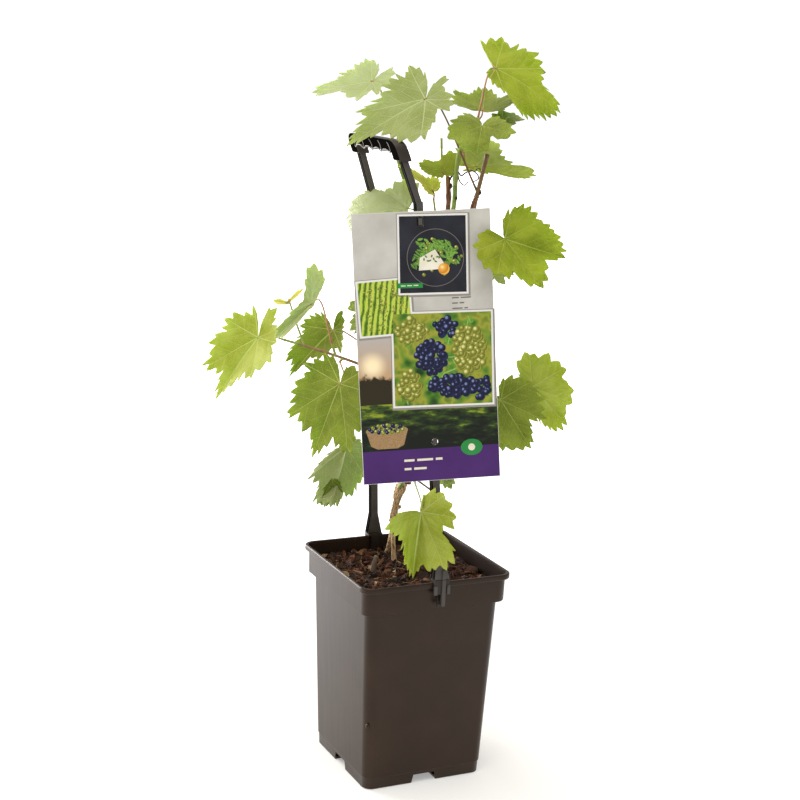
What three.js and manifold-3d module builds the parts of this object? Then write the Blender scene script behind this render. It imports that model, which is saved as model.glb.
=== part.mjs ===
// Potted grapevine with its clip-on carrying handle and picture card.
// Millimetres, +Z up. The origin is under the middle of the pot, which stands on z = 0.
// The pot's clip and card side looks along -Y, and the handle spans from that side to the one behind.
import * as THREE from 'three';
import { mergeVertices } from 'three/addons/utils/BufferGeometryUtils.js';
import Module from 'manifold-3d';

const wasm = await Module();
wasm.setup();

// ---------------------------------------------------------------- driving dimensions
const GAP = 0.3; // running clearance between pieces that touch
const SMOOTHING = 0.06; // how far a joined skin may move as its slivers are tidied away
const OVERSHOOT = 5; // how far a cut runs past the face that it opens
const LIMB_SIDES = 7; // faces round a trunk, cane or shoot
const STALK_SIDES = 5; // and round a leaf's stalk
const STEM_END = 0.98; // the last place along a stem from which a stalk still has its root inside

const POT = {
  height: 200,
  rim: 75, // half the outer width over the lip
  lip: 5, // height of the lip
  lipStep: 1.2, // how far the lip stands out
  collar: 71.6, // half width at the collar's foot
  collarHeight: 26.4,
  shoulder: 66.5, // half width of the body just under the collar
  foot: 60, // half width at the floor
  footBand: 11, // height of the slimmer band at the foot
  footStep: 0.6,
  wall: 1.6,
  rimWall: 2.6,
  edge: 0.8, // how far the rim's top edge and the lip's lower edge are eased
  corner: 11, // outer corner radius at the rim
  floor: 2.6,
  notch: 12.5, // half width of the drainage channel under each side
  notchHeight: 8,
  notchReach: 22, // how far the channel runs in from the side
  drain: 4, // radius of the drainage hole in each channel's roof
};
const COLLAR_FOOT = POT.height - POT.collarHeight;

const SOIL = 185; // level of the compost

const HOOP = {
  footY: 74, // the legs stand over the middle of two rims
  footZ: POT.height + 3 + GAP,
  bend: [-27, 48.5, 538], // x lean, half spread and height of the bend
  top: [-41, 45, 573], // where the grip's sockets take the legs
  width: 6.4, // section along X
  depth: 7, // section along Y
  groove: 1.5,
  grooveWidth: 3.4,
  flareHeight: 20,
  flareWidth: 15,
  neck: 1, // how much wider the leg still is where its flare ends
  neckHeight: 40, // height over which that is lost
};

const GRIP = {
  reach: 51.5, // half length
  width: 12,
  rise: 18, // from the sockets' mouths to the top
  palm: 9.5, // thickness over the fingers
  socket: 7, // half width of the socket along Y
  shoulder: 12, // radius of the round shoulders
  fingers: 4,
  scallop: 2.4,
};

const CLIP = {
  bridge: 2.7, // thickness over the rim
  plate: 2.3,
  width: 15,
  earDrop: 11, // how far the ears reach down outside
  tongue: 8,
  tongueDrop: 22,
  innerDrop: 14, // how far the inner plate reaches down
  innerEase: 1.2, // its clearance from the wall, which thickens downwards
  barb: 1.3, // how far the tongue's barb reaches in under the lip
  barbHeight: 3,
};

const CARD = {
  width: 121,
  height: 235,
  thickness: 0.8,
  bearing: 252, // the way the picture side looks
  tilt: 6, // how far it looks up
  roll: 4.3,
  hookZ: 522, // height of the hook that carries it
  pegZ: 331, // height of the peg that steadies it
  hookAcross: -1, // the slot lies this far right of the middle
  hookDown: 9, // and this far under the top edge
  slot: [5.4, 9.4],
  hole: 2.9, // radius
  hook: [3.2, 5.6], // width and height of the hook in the slot
  hookProud: 1.6, // how far it stands out of the card
  peg: 2.1, // radius
  pegProud: 0.6,
};

const BLADE = {
  thickness: 1.1,
  tooth: 0.04,
  // reach of half a blade, as a share of its length, at angles from the midrib
  lobes: [
    [0, 1], [13, 0.84], [26, 0.67], [47, 0.77], [60, 0.68], [75, 0.56],
    [97, 0.63], [116, 0.54], [140, 0.49], [158, 0.4], [170, 0.14],
  ],
  stalk: [1.25, 0.95], // radius at the shoot and at the blade
  stalkEnd: 1.5, // how far the stalk runs on under the midrib
  stalkBow: [0.22, 0.12], // how far it bows back and down before the blade, as a share of its length
};

const TRUNK = {
  path: [[5, 44, SOIL], [4, 40, 204], [2, 33, 235], [3, 27, 256], [5, 24, 266]],
  radii: [3.6, 2.9, 4.6], // at the soil, at its slimmest halfway up, and at the fork
  roots: [[4, 30], [7, 59]], // where the two root strands meet the compost
  rootRadii: [3.4, 2.2],
  rootElbow: 196, // height at which a strand bends over
  rootTop: 214, // height at which it joins the stem
  head: [5, 23.5, 263.5], // the swollen head under the fork
  headRadii: [6.9, 5.6, 4.6],
};

const STUB = {
  path: [[-32, 7, SOIL - OVERSHOOT], [-29.5, 7, SOIL + 8], [-27, 6.5, SOIL + 17]],
  radii: [2.2, 1.9],
};

// Canes and shoots: each one is a tapering limb through a few places.
// `from` names the limb it springs from.
const LIMBS = {
  cane_left: {
    from: 'trunk',
    path: [[3, 25, 268], [7, 21, 319], [14, 9, 416], [21, 0, 491], [25, -4, 530], [24, -3, 556]],
    radii: [3.3, 2.1],
  },
  cane_right: {
    from: 'trunk',
    path: [[9, 20, 266], [13, 5, 350], [22, -13, 447], [32, -27, 508], [38, -32, 540]],
    radii: [2.9, 2.2],
  },
  shoot_green: {
    from: 'cane_left',
    path: [[17.5, 4, 454], [22.5, -8, 496], [26, -13, 531], [27, -12, 560]],
    radii: [2.3, 2.1],
  },
  shoot_back: {
    from: 'cane_left',
    path: [[6, 22, 308], [1, 38, 364], [2, 43, 439], [3, 39, 505], [2, 37, 542], [-4, 39, 560]],
    radii: [2.4, 1.8],
  },
  shoot_left: {
    from: 'cane_left',
    path: [[9.5, 17, 353], [-19, 10, 372], [-51, 8, 386], [-92, 23, 400], [-103, 28, 403]],
    radii: [2, 1.4],
  },
  shoot_right: {
    from: 'cane_right',
    path: [[13.5, 5, 353], [31, -15, 356], [49, -36, 355], [56, -50, 358]],
    radii: [1.8, 1.4],
  },
  shoot_low: {
    from: 'trunk',
    path: [[2, 24, 262], [-6, 0, 275], [-12, -22, 286], [-17, -42, 290]],
    radii: [1.8, 1.4],
  },
};

// Foliage: each mass has a stem on its limb, and blades on stalks along that stem.
// A blade's fields: [place of its base], length, bearing and lift of the way its upper face looks,
// turn of the midrib from straight downhill, fold along the midrib, droop towards the tip, width,
// and how far along the stem its stalk springs.
const FOLIAGE = {
  leaves_top_left: {
    from: 'cane_right',
    stem: [[38.2, -32.2, 540.6], [41, -34, 557], [45, -36, 579]],
    radii: [1.9, 1.2],
    blades: [[[-7, -14, 627], 77, 225, 55, -45, 5, 15, 0.9, 0.12]],
  },
  leaves_top_right: {
    from: 'shoot_green',
    stem: [[27, -11.8, 560.6], [32, -14, 585], [43, -19, 610]],
    radii: [1.9, 1.2],
    blades: [
      [[55, -27, 655], 67, 270, 60, 45, 20, 35, 0.95, 1],
      [[65, 1, 615], 53, 240, 80, 180, 15, -20, 1.05, 0.85],
      [[77, -5, 607], 22, 250, 65, 135, 10, 10, 1, 0.7],
      [[63, -3, 582], 52, 265, 60, 30, -15, -10, 0.9, 0.45],
    ],
  },
  leaves_crown: {
    from: 'shoot_green',
    stem: [[26.5, -12.5, 550], [23, -20, 570], [24, -25, 588]],
    radii: [1.5, 1.2],
    blades: [[[35, -40, 606], 42, 235, 65, 0, 15, 25, 1.1, 1]],
  },
  leaves_young_top: {
    from: 'cane_left',
    stem: [[23.9, -2.9, 556.6], [19, -1, 567], [17, 0, 590]],
    radii: [1.6, 0.9],
    blades: [[[20, -8, 572], 21, 240, 30, -80, 10, 10, 1, 0.3]],
  },
  leaves_young_left: {
    from: 'cane_left',
    stem: [[23, -1.5, 508], [15, 0, 523], [12, 0, 536]],
    radii: [1.4, 0.9],
    blades: [[[12, -1, 542], 36, 275, 35, -150, 40, 10, 0.7, 1]],
  },
  leaves_back_left: {
    from: 'shoot_back',
    stem: [[-4.2, 39, 560.6], [-10, 40, 578], [-12, 42, 587]],
    radii: [1.7, 1.3],
    blades: [[[-29, 48, 639], 52, 245, 60, -70, 5, 10, 0.9, 1]],
  },
  leaves_inner: {
    from: 'shoot_back',
    stem: [[3, 39, 505], [-6, 26, 514]],
    radii: [1.5, 1.2],
    blades: [[[-21, 5, 528], 65, 225, 45, -50, 0, 30, 0.95, 1]],
  },
  leaves_right_upper: {
    from: 'cane_right',
    stem: [[31, -25.5, 502], [44, -37, 500], [50, -55, 502]],
    radii: [1.6, 1.2],
    blades: [
      [[40, -84, 511], 58, 255, 5, 70, 20, 0, 0.9, 1],
      [[68, -11, 471], 33, 250, 30, 75, 10, 10, 1, 0.35],
    ],
  },
  leaves_right_lower: {
    from: 'shoot_right',
    stem: [[56.2, -50.4, 358.1], [63, -54, 362]],
    radii: [1.3, 1.1],
    blades: [
      [[56, -67, 362], 54, 240, -10, 35, 10, 10, 1.1, 0.4],
      [[88, -60, 373], 52, 245, 15, 50, 5, 15, 1, 1],
    ],
  },
  leaves_left_tip: {
    from: 'shoot_left',
    stem: [[-103.5, 28.3, 403.2], [-114, 34, 406]],
    radii: [1.3, 1.1],
    blades: [[[-137, 45, 409], 65, 210, 40, -10, 15, 15, 1, 1]],
  },
  leaves_left_sprout: {
    from: 'shoot_left',
    stem: [[-98, 25.6, 401.5], [-105, 29, 421], [-112, 33, 444]],
    radii: [1, 0.8],
    blades: [
      [[-118, 36, 446], 13, 240, 20, -100, 20, 0, 0.8, 0.92],
      [[-104, 27, 449], 12, 240, 30, 130, 20, 0, 0.6, 1],
    ],
  },
  leaves_left_upper: {
    from: 'shoot_left',
    stem: [[-72, 15, 393.5], [-76, 15, 405]],
    radii: [1.3, 1.1],
    blades: [[[-96, 14, 442], 48, 245, 35, -35, 50, -5, 0.6, 1]],
  },
  leaves_left_front: {
    from: 'shoot_left',
    stem: [[-66, 12.5, 391], [-74, 0, 391]],
    radii: [1.3, 1.1],
    blades: [[[-85, -22, 378], 69, 225, 15, -15, 5, 10, 0.85, 1]],
  },
  leaves_left_low: {
    from: 'cane_left',
    stem: [[5, 23, 290], [-29, 17, 300]],
    radii: [1.5, 1.2],
    blades: [[[-61, 13, 308], 60, 60, -15, 15, 20, 25, 0.7, 1]],
  },
  leaves_left_inner: {
    from: 'cane_left',
    stem: [[11, 15, 372], [-22, 22, 388]],
    radii: [1.5, 1.2],
    blades: [
      [[-62, 44, 415], 55, 230, 50, -35, 20, 20, 0.75, 1],
      [[-39, 8, 445], 33, 240, 15, -50, 10, 10, 1, 0.6],
    ],
  },
  leaves_low_front: {
    from: 'shoot_low',
    stem: [[-17.1, -42.4, 290], [-20, -53, 289]],
    radii: [1.3, 1.1],
    blades: [
      [[-27, -72, 269], 65, 260, -10, 5, 45, -5, 0.9, 1],
    ],
  },
  leaves_low_right: {
    from: 'cane_right',
    stem: [[11.3, 12, 318], [20, -6, 311]],
    radii: [1.3, 1.1],
    blades: [[[28, -26, 297], 31, 255, 5, 25, 20, 10, 1, 1]],
  },
  leaves_back_upper: {
    from: 'shoot_back',
    stem: [[2, 43, 450], [16, 52, 462]],
    radii: [1.5, 1.2],
    blades: [
      [[35, 50, 485], 58, 50, 35, 0, 10, 15, 0.9, 1],
      [[20, 70, 442], 56, 90, 30, 5, 10, 20, 0.9, 0.6],
    ],
  },
  leaves_back_middle: {
    from: 'shoot_back',
    stem: [[1, 41, 385], [14, 50, 392]],
    radii: [1.5, 1.2],
    blades: [
      [[52, 46, 412], 62, 35, 25, -10, 10, 15, 0.9, 1],
      [[28, 66, 370], 54, 85, 25, -10, 10, 15, 0.9, 0.6],
    ],
  },
  leaves_back_lower: {
    from: 'cane_right',
    stem: [[12, 11, 322], [28, 22, 330]],
    radii: [1.5, 1.2],
    blades: [
      [[52, 30, 345], 60, 20, 30, 10, 10, 15, 0.9, 1],
      [[30, 52, 338], 56, 75, 20, -5, 10, 15, 0.9, 0.7],
    ],
  },
};

// ---------------------------------------------------------------- materials
const finish = (color, roughness) => new THREE.MeshStandardMaterial({ color, roughness, metalness: 0 });
const MATERIALS = {
  pot: finish(0x3a3633, 0.45),
  handle: finish(0x2b2929, 0.4),
  compost: finish(0x4a3226, 1),
  bark: finish(0xa5835a, 0.9),
  cane: finish(0x7a4a34, 0.8),
  shoot: finish(0x7f9440, 0.6),
  leaf: finish(0x8fa83a, 0.55),
  card: finish(0x9a9088, 0.35),
};

// ---------------------------------------------------------------- solids
const rad = THREE.MathUtils.degToRad;
const V3 = (p) => new THREE.Vector3(...p);

/** A closed geometry as a solid that can be joined and cut. */
function solid(geometry) {
  const bare = geometry.clone();
  bare.deleteAttribute('normal');
  bare.deleteAttribute('uv');
  const merged = mergeVertices(bare, 1e-4);
  return new wasm.Manifold(
    new wasm.Mesh({
      numProp: 3,
      vertProperties: Float32Array.from(merged.attributes.position.array),
      triVerts: Uint32Array.from(merged.index.array),
    }),
  );
}

/** The largest single body of a solid, without slivers or sealed pockets, as a geometry. */
function geometryOf(body) {
  const largest = body.simplify(SMOOTHING).decompose().sort((a, b) => b.volume() - a.volume())[0];
  const mesh = largest.getMesh();
  const geometry = new THREE.BufferGeometry();
  geometry.setAttribute('position', new THREE.BufferAttribute(Float32Array.from(mesh.vertProperties), 3));
  geometry.setIndex(Array.from(mesh.triVerts));
  return geometry;
}

const join = (solids) => solids.reduce((sum, next) => sum.add(next));

/** Closed skin over a stack of rings. `flat` gives the first and last ring as 2-D outlines for the caps. */
function loft(rings, flatFirst, flatLast = flatFirst) {
  const count = rings[0].length;
  const positions = rings.flat().flatMap((p) => [p.x, p.y, p.z]);
  const index = [];
  for (let r = 0; r + 1 < rings.length; r++) {
    for (let i = 0; i < count; i++) {
      const a = r * count + i;
      const b = r * count + ((i + 1) % count);
      index.push(a, b, b + count, a, b + count, a + count);
    }
  }
  const caps = [flatFirst, flatLast].map((outline) => THREE.ShapeUtils.triangulateShape(outline, []));
  for (const [a, b, c] of caps[0]) index.push(c, b, a);
  const top = (rings.length - 1) * count;
  for (const [a, b, c] of caps[1]) index.push(top + a, top + b, top + c);
  const geometry = new THREE.BufferGeometry();
  geometry.setAttribute('position', new THREE.Float32BufferAttribute(positions, 3));
  geometry.setIndex(index);
  return geometry;
}

/** Box between two opposite corners. */
function block([x0, y0, z0], [x1, y1, z1]) {
  const box = new THREE.BoxGeometry(Math.abs(x1 - x0), Math.abs(y1 - y0), z1 - z0);
  return box.translate((x0 + x1) / 2, (y0 + y1) / 2, (z0 + z1) / 2);
}

/** Square outline with round corners, counter-clockwise. */
function roundSquare(half, radius, perCorner = 3) {
  const points = [];
  for (let corner = 0; corner < 4; corner++) {
    const middle = rad(45 + 90 * corner);
    const cx = Math.sign(Math.cos(middle)) * (half - radius);
    const cy = Math.sign(Math.sin(middle)) * (half - radius);
    for (let i = 0; i <= perCorner; i++) {
      const angle = rad(90 * corner + (90 * i) / perCorner);
      points.push(new THREE.Vector2(cx + radius * Math.cos(angle), cy + radius * Math.sin(angle)));
    }
  }
  return points;
}

/** Upright body through round-cornered squares, each given as [half width, height]. */
function squareLoft(levels) {
  const outlines = levels.map(([half]) => roundSquare(half, (POT.corner * half) / POT.rim));
  const rings = outlines.map((outline, i) => outline.map((p) => new THREE.Vector3(p.x, p.y, levels[i][1])));
  return loft(rings, outlines[0], outlines.at(-1));
}

/** Tapering round limb along a smooth curve through the path, swollen by `grow`. */
function limb(path, [r0, r1], sides = LIMB_SIDES, grow = 0) {
  const curve = new THREE.CatmullRomCurve3(path.map(V3));
  const steps = 2 * (path.length - 1);
  const frames = curve.computeFrenetFrames(steps);
  const rings = [];
  for (let i = 0; i <= steps; i++) {
    const centre = curve.getPointAt(i / steps);
    const radius = r0 + ((r1 - r0) * i) / steps + grow;
    const ring = [];
    for (let k = 0; k < sides; k++) {
      const angle = (2 * Math.PI * k) / sides;
      ring.push(
        centre.clone()
          .addScaledVector(frames.normals[i], radius * Math.cos(angle))
          .addScaledVector(frames.binormals[i], radius * Math.sin(angle)),
      );
    }
    rings.push(ring);
  }
  const circle = Array.from({ length: sides }, (_, k) => {
    const angle = (2 * Math.PI * k) / sides;
    return new THREE.Vector2(Math.cos(angle), Math.sin(angle));
  });
  return loft(rings, circle);
}

// ---------------------------------------------------------------- pot and compost
const bodyHalfAt = (z) => POT.foot + ((POT.shoulder - POT.foot) * z) / COLLAR_FOOT;

/** Box in the middle of each side of the pot's foot, between two distances from the pot's middle. */
function atEachSide(inner, outer, half, low, high) {
  return [1, -1].flatMap((side) => [
    block([side * inner, -half, low], [side * outer, half, high]),
    block([-half, side * inner, low], [half, side * outer, high]),
  ]);
}

/** The raised roofs over the drainage channels, swollen all round by a clearance. */
function channelHousings(grow) {
  const { foot, notchReach, notch, notchHeight, floor, wall } = POT;
  const top = notchHeight + floor + grow;
  const inner = foot - notchReach - wall - grow;
  const boxes = atEachSide(inner, foot - wall / 2, notch + wall + grow, wall / 2, top);
  return join(boxes.map(solid));
}

function potSolid() {
  const { foot, footStep, footBand, rim, height, lip, edge, rimWall, wall, collar, shoulder } = POT;
  const skin = squareLoft([
    [foot - footStep, 0],
    [bodyHalfAt(footBand) - footStep, footBand],
    [bodyHalfAt(footBand), footBand + edge],
    [shoulder, COLLAR_FOOT - edge],
    [collar, COLLAR_FOOT],
    [rim - POT.lipStep, height - lip],
    [rim, height - lip + edge],
    [rim, height - edge],
    [rim - edge, height],
    [rim - rimWall, height],
    [rim - rimWall, height - lip],
    [collar - wall, COLLAR_FOOT + edge],
    [shoulder - wall, COLLAR_FOOT - wall],
    [bodyHalfAt(POT.floor) - wall, POT.floor],
  ]);
  const { notch, notchHeight, notchReach, drain } = POT;
  const channels = atEachSide(foot - notchReach, foot + OVERSHOOT, notch, -OVERSHOOT, notchHeight);
  const drains = [[1, 0], [-1, 0], [0, 1], [0, -1]].map(([x, y]) => {
    const hole = new THREE.CylinderGeometry(drain, drain, POT.floor + OVERSHOOT, 10);
    const reach = foot - (2 * notchReach) / 3;
    return hole.rotateX(Math.PI / 2).translate(x * reach, y * reach, notchHeight);
  });
  return solid(skin).add(channelHousings(0)).subtract(join([...channels, ...drains].map(solid)));
}

function compostSolid() {
  const { wall, shoulder, collar, edge } = POT;
  const bottom = POT.floor + GAP;
  const inset = wall + GAP;
  const fill = squareLoft([
    [bodyHalfAt(bottom) - inset, bottom],
    [shoulder - inset, COLLAR_FOOT - wall],
    [collar - inset, COLLAR_FOOT + edge + GAP],
    [collar - inset, SOIL],
  ]);
  return solid(fill).subtract(channelHousings(GAP));
}

// ---------------------------------------------------------------- carrying handle
/** Section of a leg: a bar with a groove down both broad sides. */
function legSection(width) {
  const x = width / 2;
  const y = HOOP.depth / 2;
  const g = HOOP.grooveWidth / 2;
  const d = x - HOOP.groove;
  return [
    [x, -y], [x, -g], [d, -g], [d, g], [x, g], [x, y],
    [-x, y], [-x, g], [-d, g], [-d, -g], [-x, -g], [-x, -y],
  ].map(([px, py]) => new THREE.Vector2(px, py));
}

/** Leg through level sections, each given as [x, y, z, width]. */
function leg(levels) {
  const flat = levels.map(([, , , width]) => legSection(width));
  const rings = flat.map((section, i) => {
    const [x, y, z] = levels[i];
    return section.map((p) => new THREE.Vector3(x + p.x, y + p.y, z));
  });
  return loft(rings, flat[0], flat.at(-1));
}

/** Centre of the front leg (side -1) or back leg (side 1) at a height up to the bend. */
function lowerLegAt(z, side) {
  const t = (z - POT.height) / (HOOP.bend[2] - POT.height);
  return [HOOP.bend[0] * t, side * (HOOP.footY + (HOOP.bend[1] - HOOP.footY) * t), z];
}

function lowerLeg(side) {
  const { footZ, flareHeight, flareWidth, neck, neckHeight, width, bend } = HOOP;
  const flareTop = footZ + flareHeight;
  return leg([
    [...lowerLegAt(footZ, side), flareWidth],
    [...lowerLegAt(flareTop, side), width + neck],
    [...lowerLegAt(flareTop + neckHeight, side), width],
    [...lowerLegAt(bend[2], side), width],
  ]);
}

function upperLeg(side) {
  const [x0, y0, z0] = HOOP.bend;
  const [x1, y1, z1] = HOOP.top;
  return leg([
    [x0, side * y0, z0 + GAP, HOOP.width],
    [x1, side * y1, z1, HOOP.width],
  ]);
}

/** Grip: a bar with round shoulders, a socket over each leg and finger scallops below. */
function gripSolid() {
  const mouth = 0; // the level of the sockets' mouths
  const { reach, rise, palm, socket, shoulder, fingers, scallop } = GRIP;
  const inner = reach - 2 * socket;
  const shape = new THREE.Shape();
  shape.moveTo(-reach, mouth);
  shape.lineTo(-inner, mouth);
  shape.lineTo(-inner, rise - palm - scallop);
  const pitch = (2 * inner) / fingers;
  for (let f = 0; f < fingers; f++) {
    const y = -inner + f * pitch;
    shape.quadraticCurveTo(y + pitch / 2, rise - palm + scallop, y + pitch, rise - palm - scallop);
  }
  shape.lineTo(inner, mouth);
  shape.lineTo(reach, mouth);
  shape.lineTo(reach, rise - shoulder);
  shape.quadraticCurveTo(reach, rise, reach - shoulder, rise);
  shape.lineTo(-reach + shoulder, rise);
  shape.quadraticCurveTo(-reach, rise, -reach, rise - shoulder);
  const bar = new THREE.ExtrudeGeometry(shape, { depth: GRIP.width, bevelEnabled: false, curveSegments: 6 });
  bar.translate(0, 0, -GRIP.width / 2);
  const lean = (HOOP.top[0] - HOOP.bend[0]) / (HOOP.top[2] - HOOP.bend[2]);
  const place = new THREE.Matrix4().set(
    0, lean, 1, HOOP.top[0],
    1, 0, 0, 0,
    0, 1, 0, HOOP.top[2] + GAP,
    0, 0, 0, 1,
  );
  return solid(bar.applyMatrix4(place));
}

/** Clip over the rim: bridge, ears and tongue outside, plate inside. */
function clipSolid(side) {
  const { bridge, plate, width, tongue, barb } = CLIP;
  const top = HOOP.footZ - GAP;
  const out = POT.rim + GAP;
  const inside = POT.rim - POT.rimWall - CLIP.innerEase;
  const under = POT.height - POT.lip - GAP;
  const joint = top - bridge / 2; // inside the bridge, where the parts below it begin
  const parts = [
    block([-width / 2, inside - plate, top - bridge], [width / 2, out + plate, top]),
    block([-width / 2, out, POT.height - CLIP.earDrop], [width / 2, out + plate, joint]),
    block([-tongue / 2, out, POT.height - CLIP.tongueDrop], [tongue / 2, out + plate, joint]),
    block([-tongue / 2, out - barb, under - CLIP.barbHeight], [tongue / 2, out + plate / 2, under]),
    block([-tongue / 2, inside - plate, POT.height - CLIP.innerDrop], [tongue / 2, inside, joint]),
  ];
  const body = join(parts.map(solid));
  return side < 0 ? body.mirror([0, 1, 0]) : body;
}

// ---------------------------------------------------------------- picture card
/** Card axes: the way it looks, its right and its up. */
function cardAxes() {
  const b = rad(CARD.bearing);
  const t = rad(CARD.tilt);
  const look = new THREE.Vector3(Math.cos(b) * Math.cos(t), Math.sin(b) * Math.cos(t), Math.sin(t));
  const level = new THREE.Vector3(-Math.sin(b), Math.cos(b), 0);
  const up = new THREE.Vector3().crossVectors(look, level);
  const roll = rad(CARD.roll);
  const right = level.clone().multiplyScalar(Math.cos(roll)).addScaledVector(up, Math.sin(roll));
  up.multiplyScalar(Math.cos(roll)).addScaledVector(level, -Math.sin(roll));
  return { look, right, up };
}

const AXES = cardAxes();
// the card's back just clears the leg's corner at the bend, where the leg stands furthest forward
const highest = V3(lowerLegAt(HOOP.bend[2], -1));
const legCorner = (HOOP.width / 2) * Math.abs(AXES.look.x) + (HOOP.depth / 2) * Math.abs(AXES.look.y);
const cardPlane = highest.dot(AXES.look) + legCorner + GAP;

/** The place on the card's back face straight in front of the front leg at a height. */
function onCard(z) {
  const foot = V3(lowerLegAt(z, -1));
  return foot.addScaledVector(AXES.look, cardPlane - foot.dot(AXES.look));
}

const cardMiddle = onCard(CARD.hookZ)
  .addScaledVector(AXES.right, -CARD.hookAcross)
  .addScaledVector(AXES.up, CARD.hookDown - CARD.height / 2);

/** A place on the card as [across, up] from its middle. */
function cardXY(place) {
  const from = place.clone().sub(cardMiddle);
  return [from.dot(AXES.right), from.dot(AXES.up)];
}

function cardPath(Kind, [cx, cy], w, h) {
  const path = new Kind();
  path.moveTo(cx - w / 2, cy - h / 2);
  path.lineTo(cx + w / 2, cy - h / 2);
  path.lineTo(cx + w / 2, cy + h / 2);
  path.lineTo(cx - w / 2, cy + h / 2);
  path.closePath();
  return path;
}

function cardSolid() {
  const shape = cardPath(THREE.Shape, [0, 0], CARD.width, CARD.height);
  shape.holes.push(cardPath(THREE.Path, cardXY(onCard(CARD.hookZ)), ...CARD.slot));
  const hole = new THREE.Path();
  hole.absarc(...cardXY(onCard(CARD.pegZ)), CARD.hole, 0, 2 * Math.PI);
  shape.holes.push(hole);
  const sizes = { depth: CARD.thickness, bevelEnabled: false, curveSegments: 10 };
  const sheet = new THREE.ExtrudeGeometry(shape, sizes);
  const place = new THREE.Matrix4().makeBasis(AXES.right, AXES.up, AXES.look).setPosition(cardMiddle);
  return solid(sheet.applyMatrix4(place));
}

/** Hook and peg that stand out of the front leg through the card. */
function cardHolders() {
  const place = (z) => new THREE.Matrix4().makeBasis(AXES.right, AXES.up, AXES.look).setPosition(onCard(z));
  const [hookWidth, hookHeight] = CARD.hook;
  const root = -HOOP.depth; // inside the leg
  const lowest = [-hookWidth / 2, -hookHeight / 2, root];
  const highestCorner = [hookWidth / 2, hookHeight / 2, CARD.thickness + CARD.hookProud];
  const hook = block(lowest, highestCorner).applyMatrix4(place(CARD.hookZ));
  const reach = onCard(CARD.pegZ).distanceTo(V3(lowerLegAt(CARD.pegZ, -1)));
  const front = CARD.thickness + CARD.pegProud;
  const peg = new THREE.CylinderGeometry(CARD.peg, CARD.peg, reach + front, 12);
  peg.rotateX(Math.PI / 2).translate(0, 0, (front - reach) / 2);
  return [hook, peg.applyMatrix4(place(CARD.pegZ))].map(solid);
}

// ---------------------------------------------------------------- the vine
/** Everything below the level at which stems stand on the compost. */
const ground = () => solid(block([-POT.rim, -POT.rim, 0], [POT.rim, POT.rim, SOIL + GAP]));

function trunkSolid() {
  const { path, radii, roots, rootRadii, rootElbow, rootTop, head, headRadii } = TRUNK;
  const split = new THREE.CatmullRomCurve3(path.map(V3)).getPoint(0.25);
  const strands = roots.map(([x, y]) => {
    const elbow = [(x + split.x) / 2, (y + split.y) / 2, rootElbow];
    return solid(limb([[x, y, SOIL - OVERSHOOT], elbow, [split.x, split.y, rootTop]], rootRadii));
  });
  const lower = solid(limb(path.slice(0, 3), [radii[0], radii[1]]));
  const upper = solid(limb(path.slice(2), [radii[1], radii[2]]));
  const swelling = new THREE.SphereGeometry(1, 10, 6).scale(...headRadii).translate(...head);
  return join([lower, upper, solid(swelling), ...strands]).subtract(ground());
}

const limbSolids = { trunk: trunkSolid() };

/** A limb, cut clear of the one that it springs from. */
function limbSolid({ from, path, radii }) {
  return solid(limb(path, radii)).subtract(swollen(from));
}

/** A limb swollen by the clearance, to cut what springs from it. */
function swollen(name) {
  if (name !== 'trunk') return solid(limb(LIMBS[name].path, LIMBS[name].radii, LIMB_SIDES, GAP));
  const shifts = [[0, 0, GAP], [GAP, 0, 0], [-GAP, 0, 0], [0, GAP, 0], [0, -GAP, 0]];
  return join(shifts.map((shift) => limbSolids.trunk.translate(shift)));
}

for (const [name, plan] of Object.entries(LIMBS)) limbSolids[name] = limbSolid(plan);

/** A blade's axes: the way its upper face looks, its midrib and its side. */
function bladeAxes(bearing, lift, turn) {
  const b = rad(bearing);
  const l = rad(lift);
  const face = new THREE.Vector3(Math.cos(b) * Math.cos(l), Math.sin(b) * Math.cos(l), Math.sin(l));
  const downhill = new THREE.Vector3(0, 0, -1).addScaledVector(face, face.z).normalize();
  const across = new THREE.Vector3().crossVectors(face, downhill);
  const rib = downhill.multiplyScalar(Math.cos(rad(turn))).addScaledVector(across, Math.sin(rad(turn)));
  return { face, rib, side: new THREE.Vector3().crossVectors(face, rib) };
}

/** A point of a blade that folds along its midrib and droops towards its tip. */
function bladePoint(blade, angle, reach, offset) {
  const { base, length, fold, droop, width, axes } = blade;
  const along = reach * Math.cos(angle) * length;
  const across = reach * Math.sin(angle) * length * width;
  const tilt = rad(fold) * Math.sign(across);
  const v = across * Math.cos(tilt) - offset * Math.sin(tilt);
  const w = Math.abs(across) * Math.sin(rad(fold)) + offset * Math.cos(tilt);
  const curl = rad(droop) || 1e-4;
  const bend = (curl * along) / length;
  const radius = length / curl;
  const u = Math.sin(bend) * (radius + w);
  const rise = (radius + w) * Math.cos(bend) - radius;
  return base.clone()
    .addScaledVector(axes.rib, u)
    .addScaledVector(axes.side, v)
    .addScaledVector(axes.face, rise);
}

/** Angles and reaches round a blade's margin, from one side of the sinus to the other. */
function bladeMargin() {
  const half = BLADE.lobes.map(([degrees, reach], i) => {
    const tooth = i % 2 ? -BLADE.tooth : BLADE.tooth;
    return [rad(degrees), reach * (1 + tooth)];
  });
  return [...half.slice(1).reverse().map(([angle, reach]) => [-angle, reach]), ...half];
}

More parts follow.
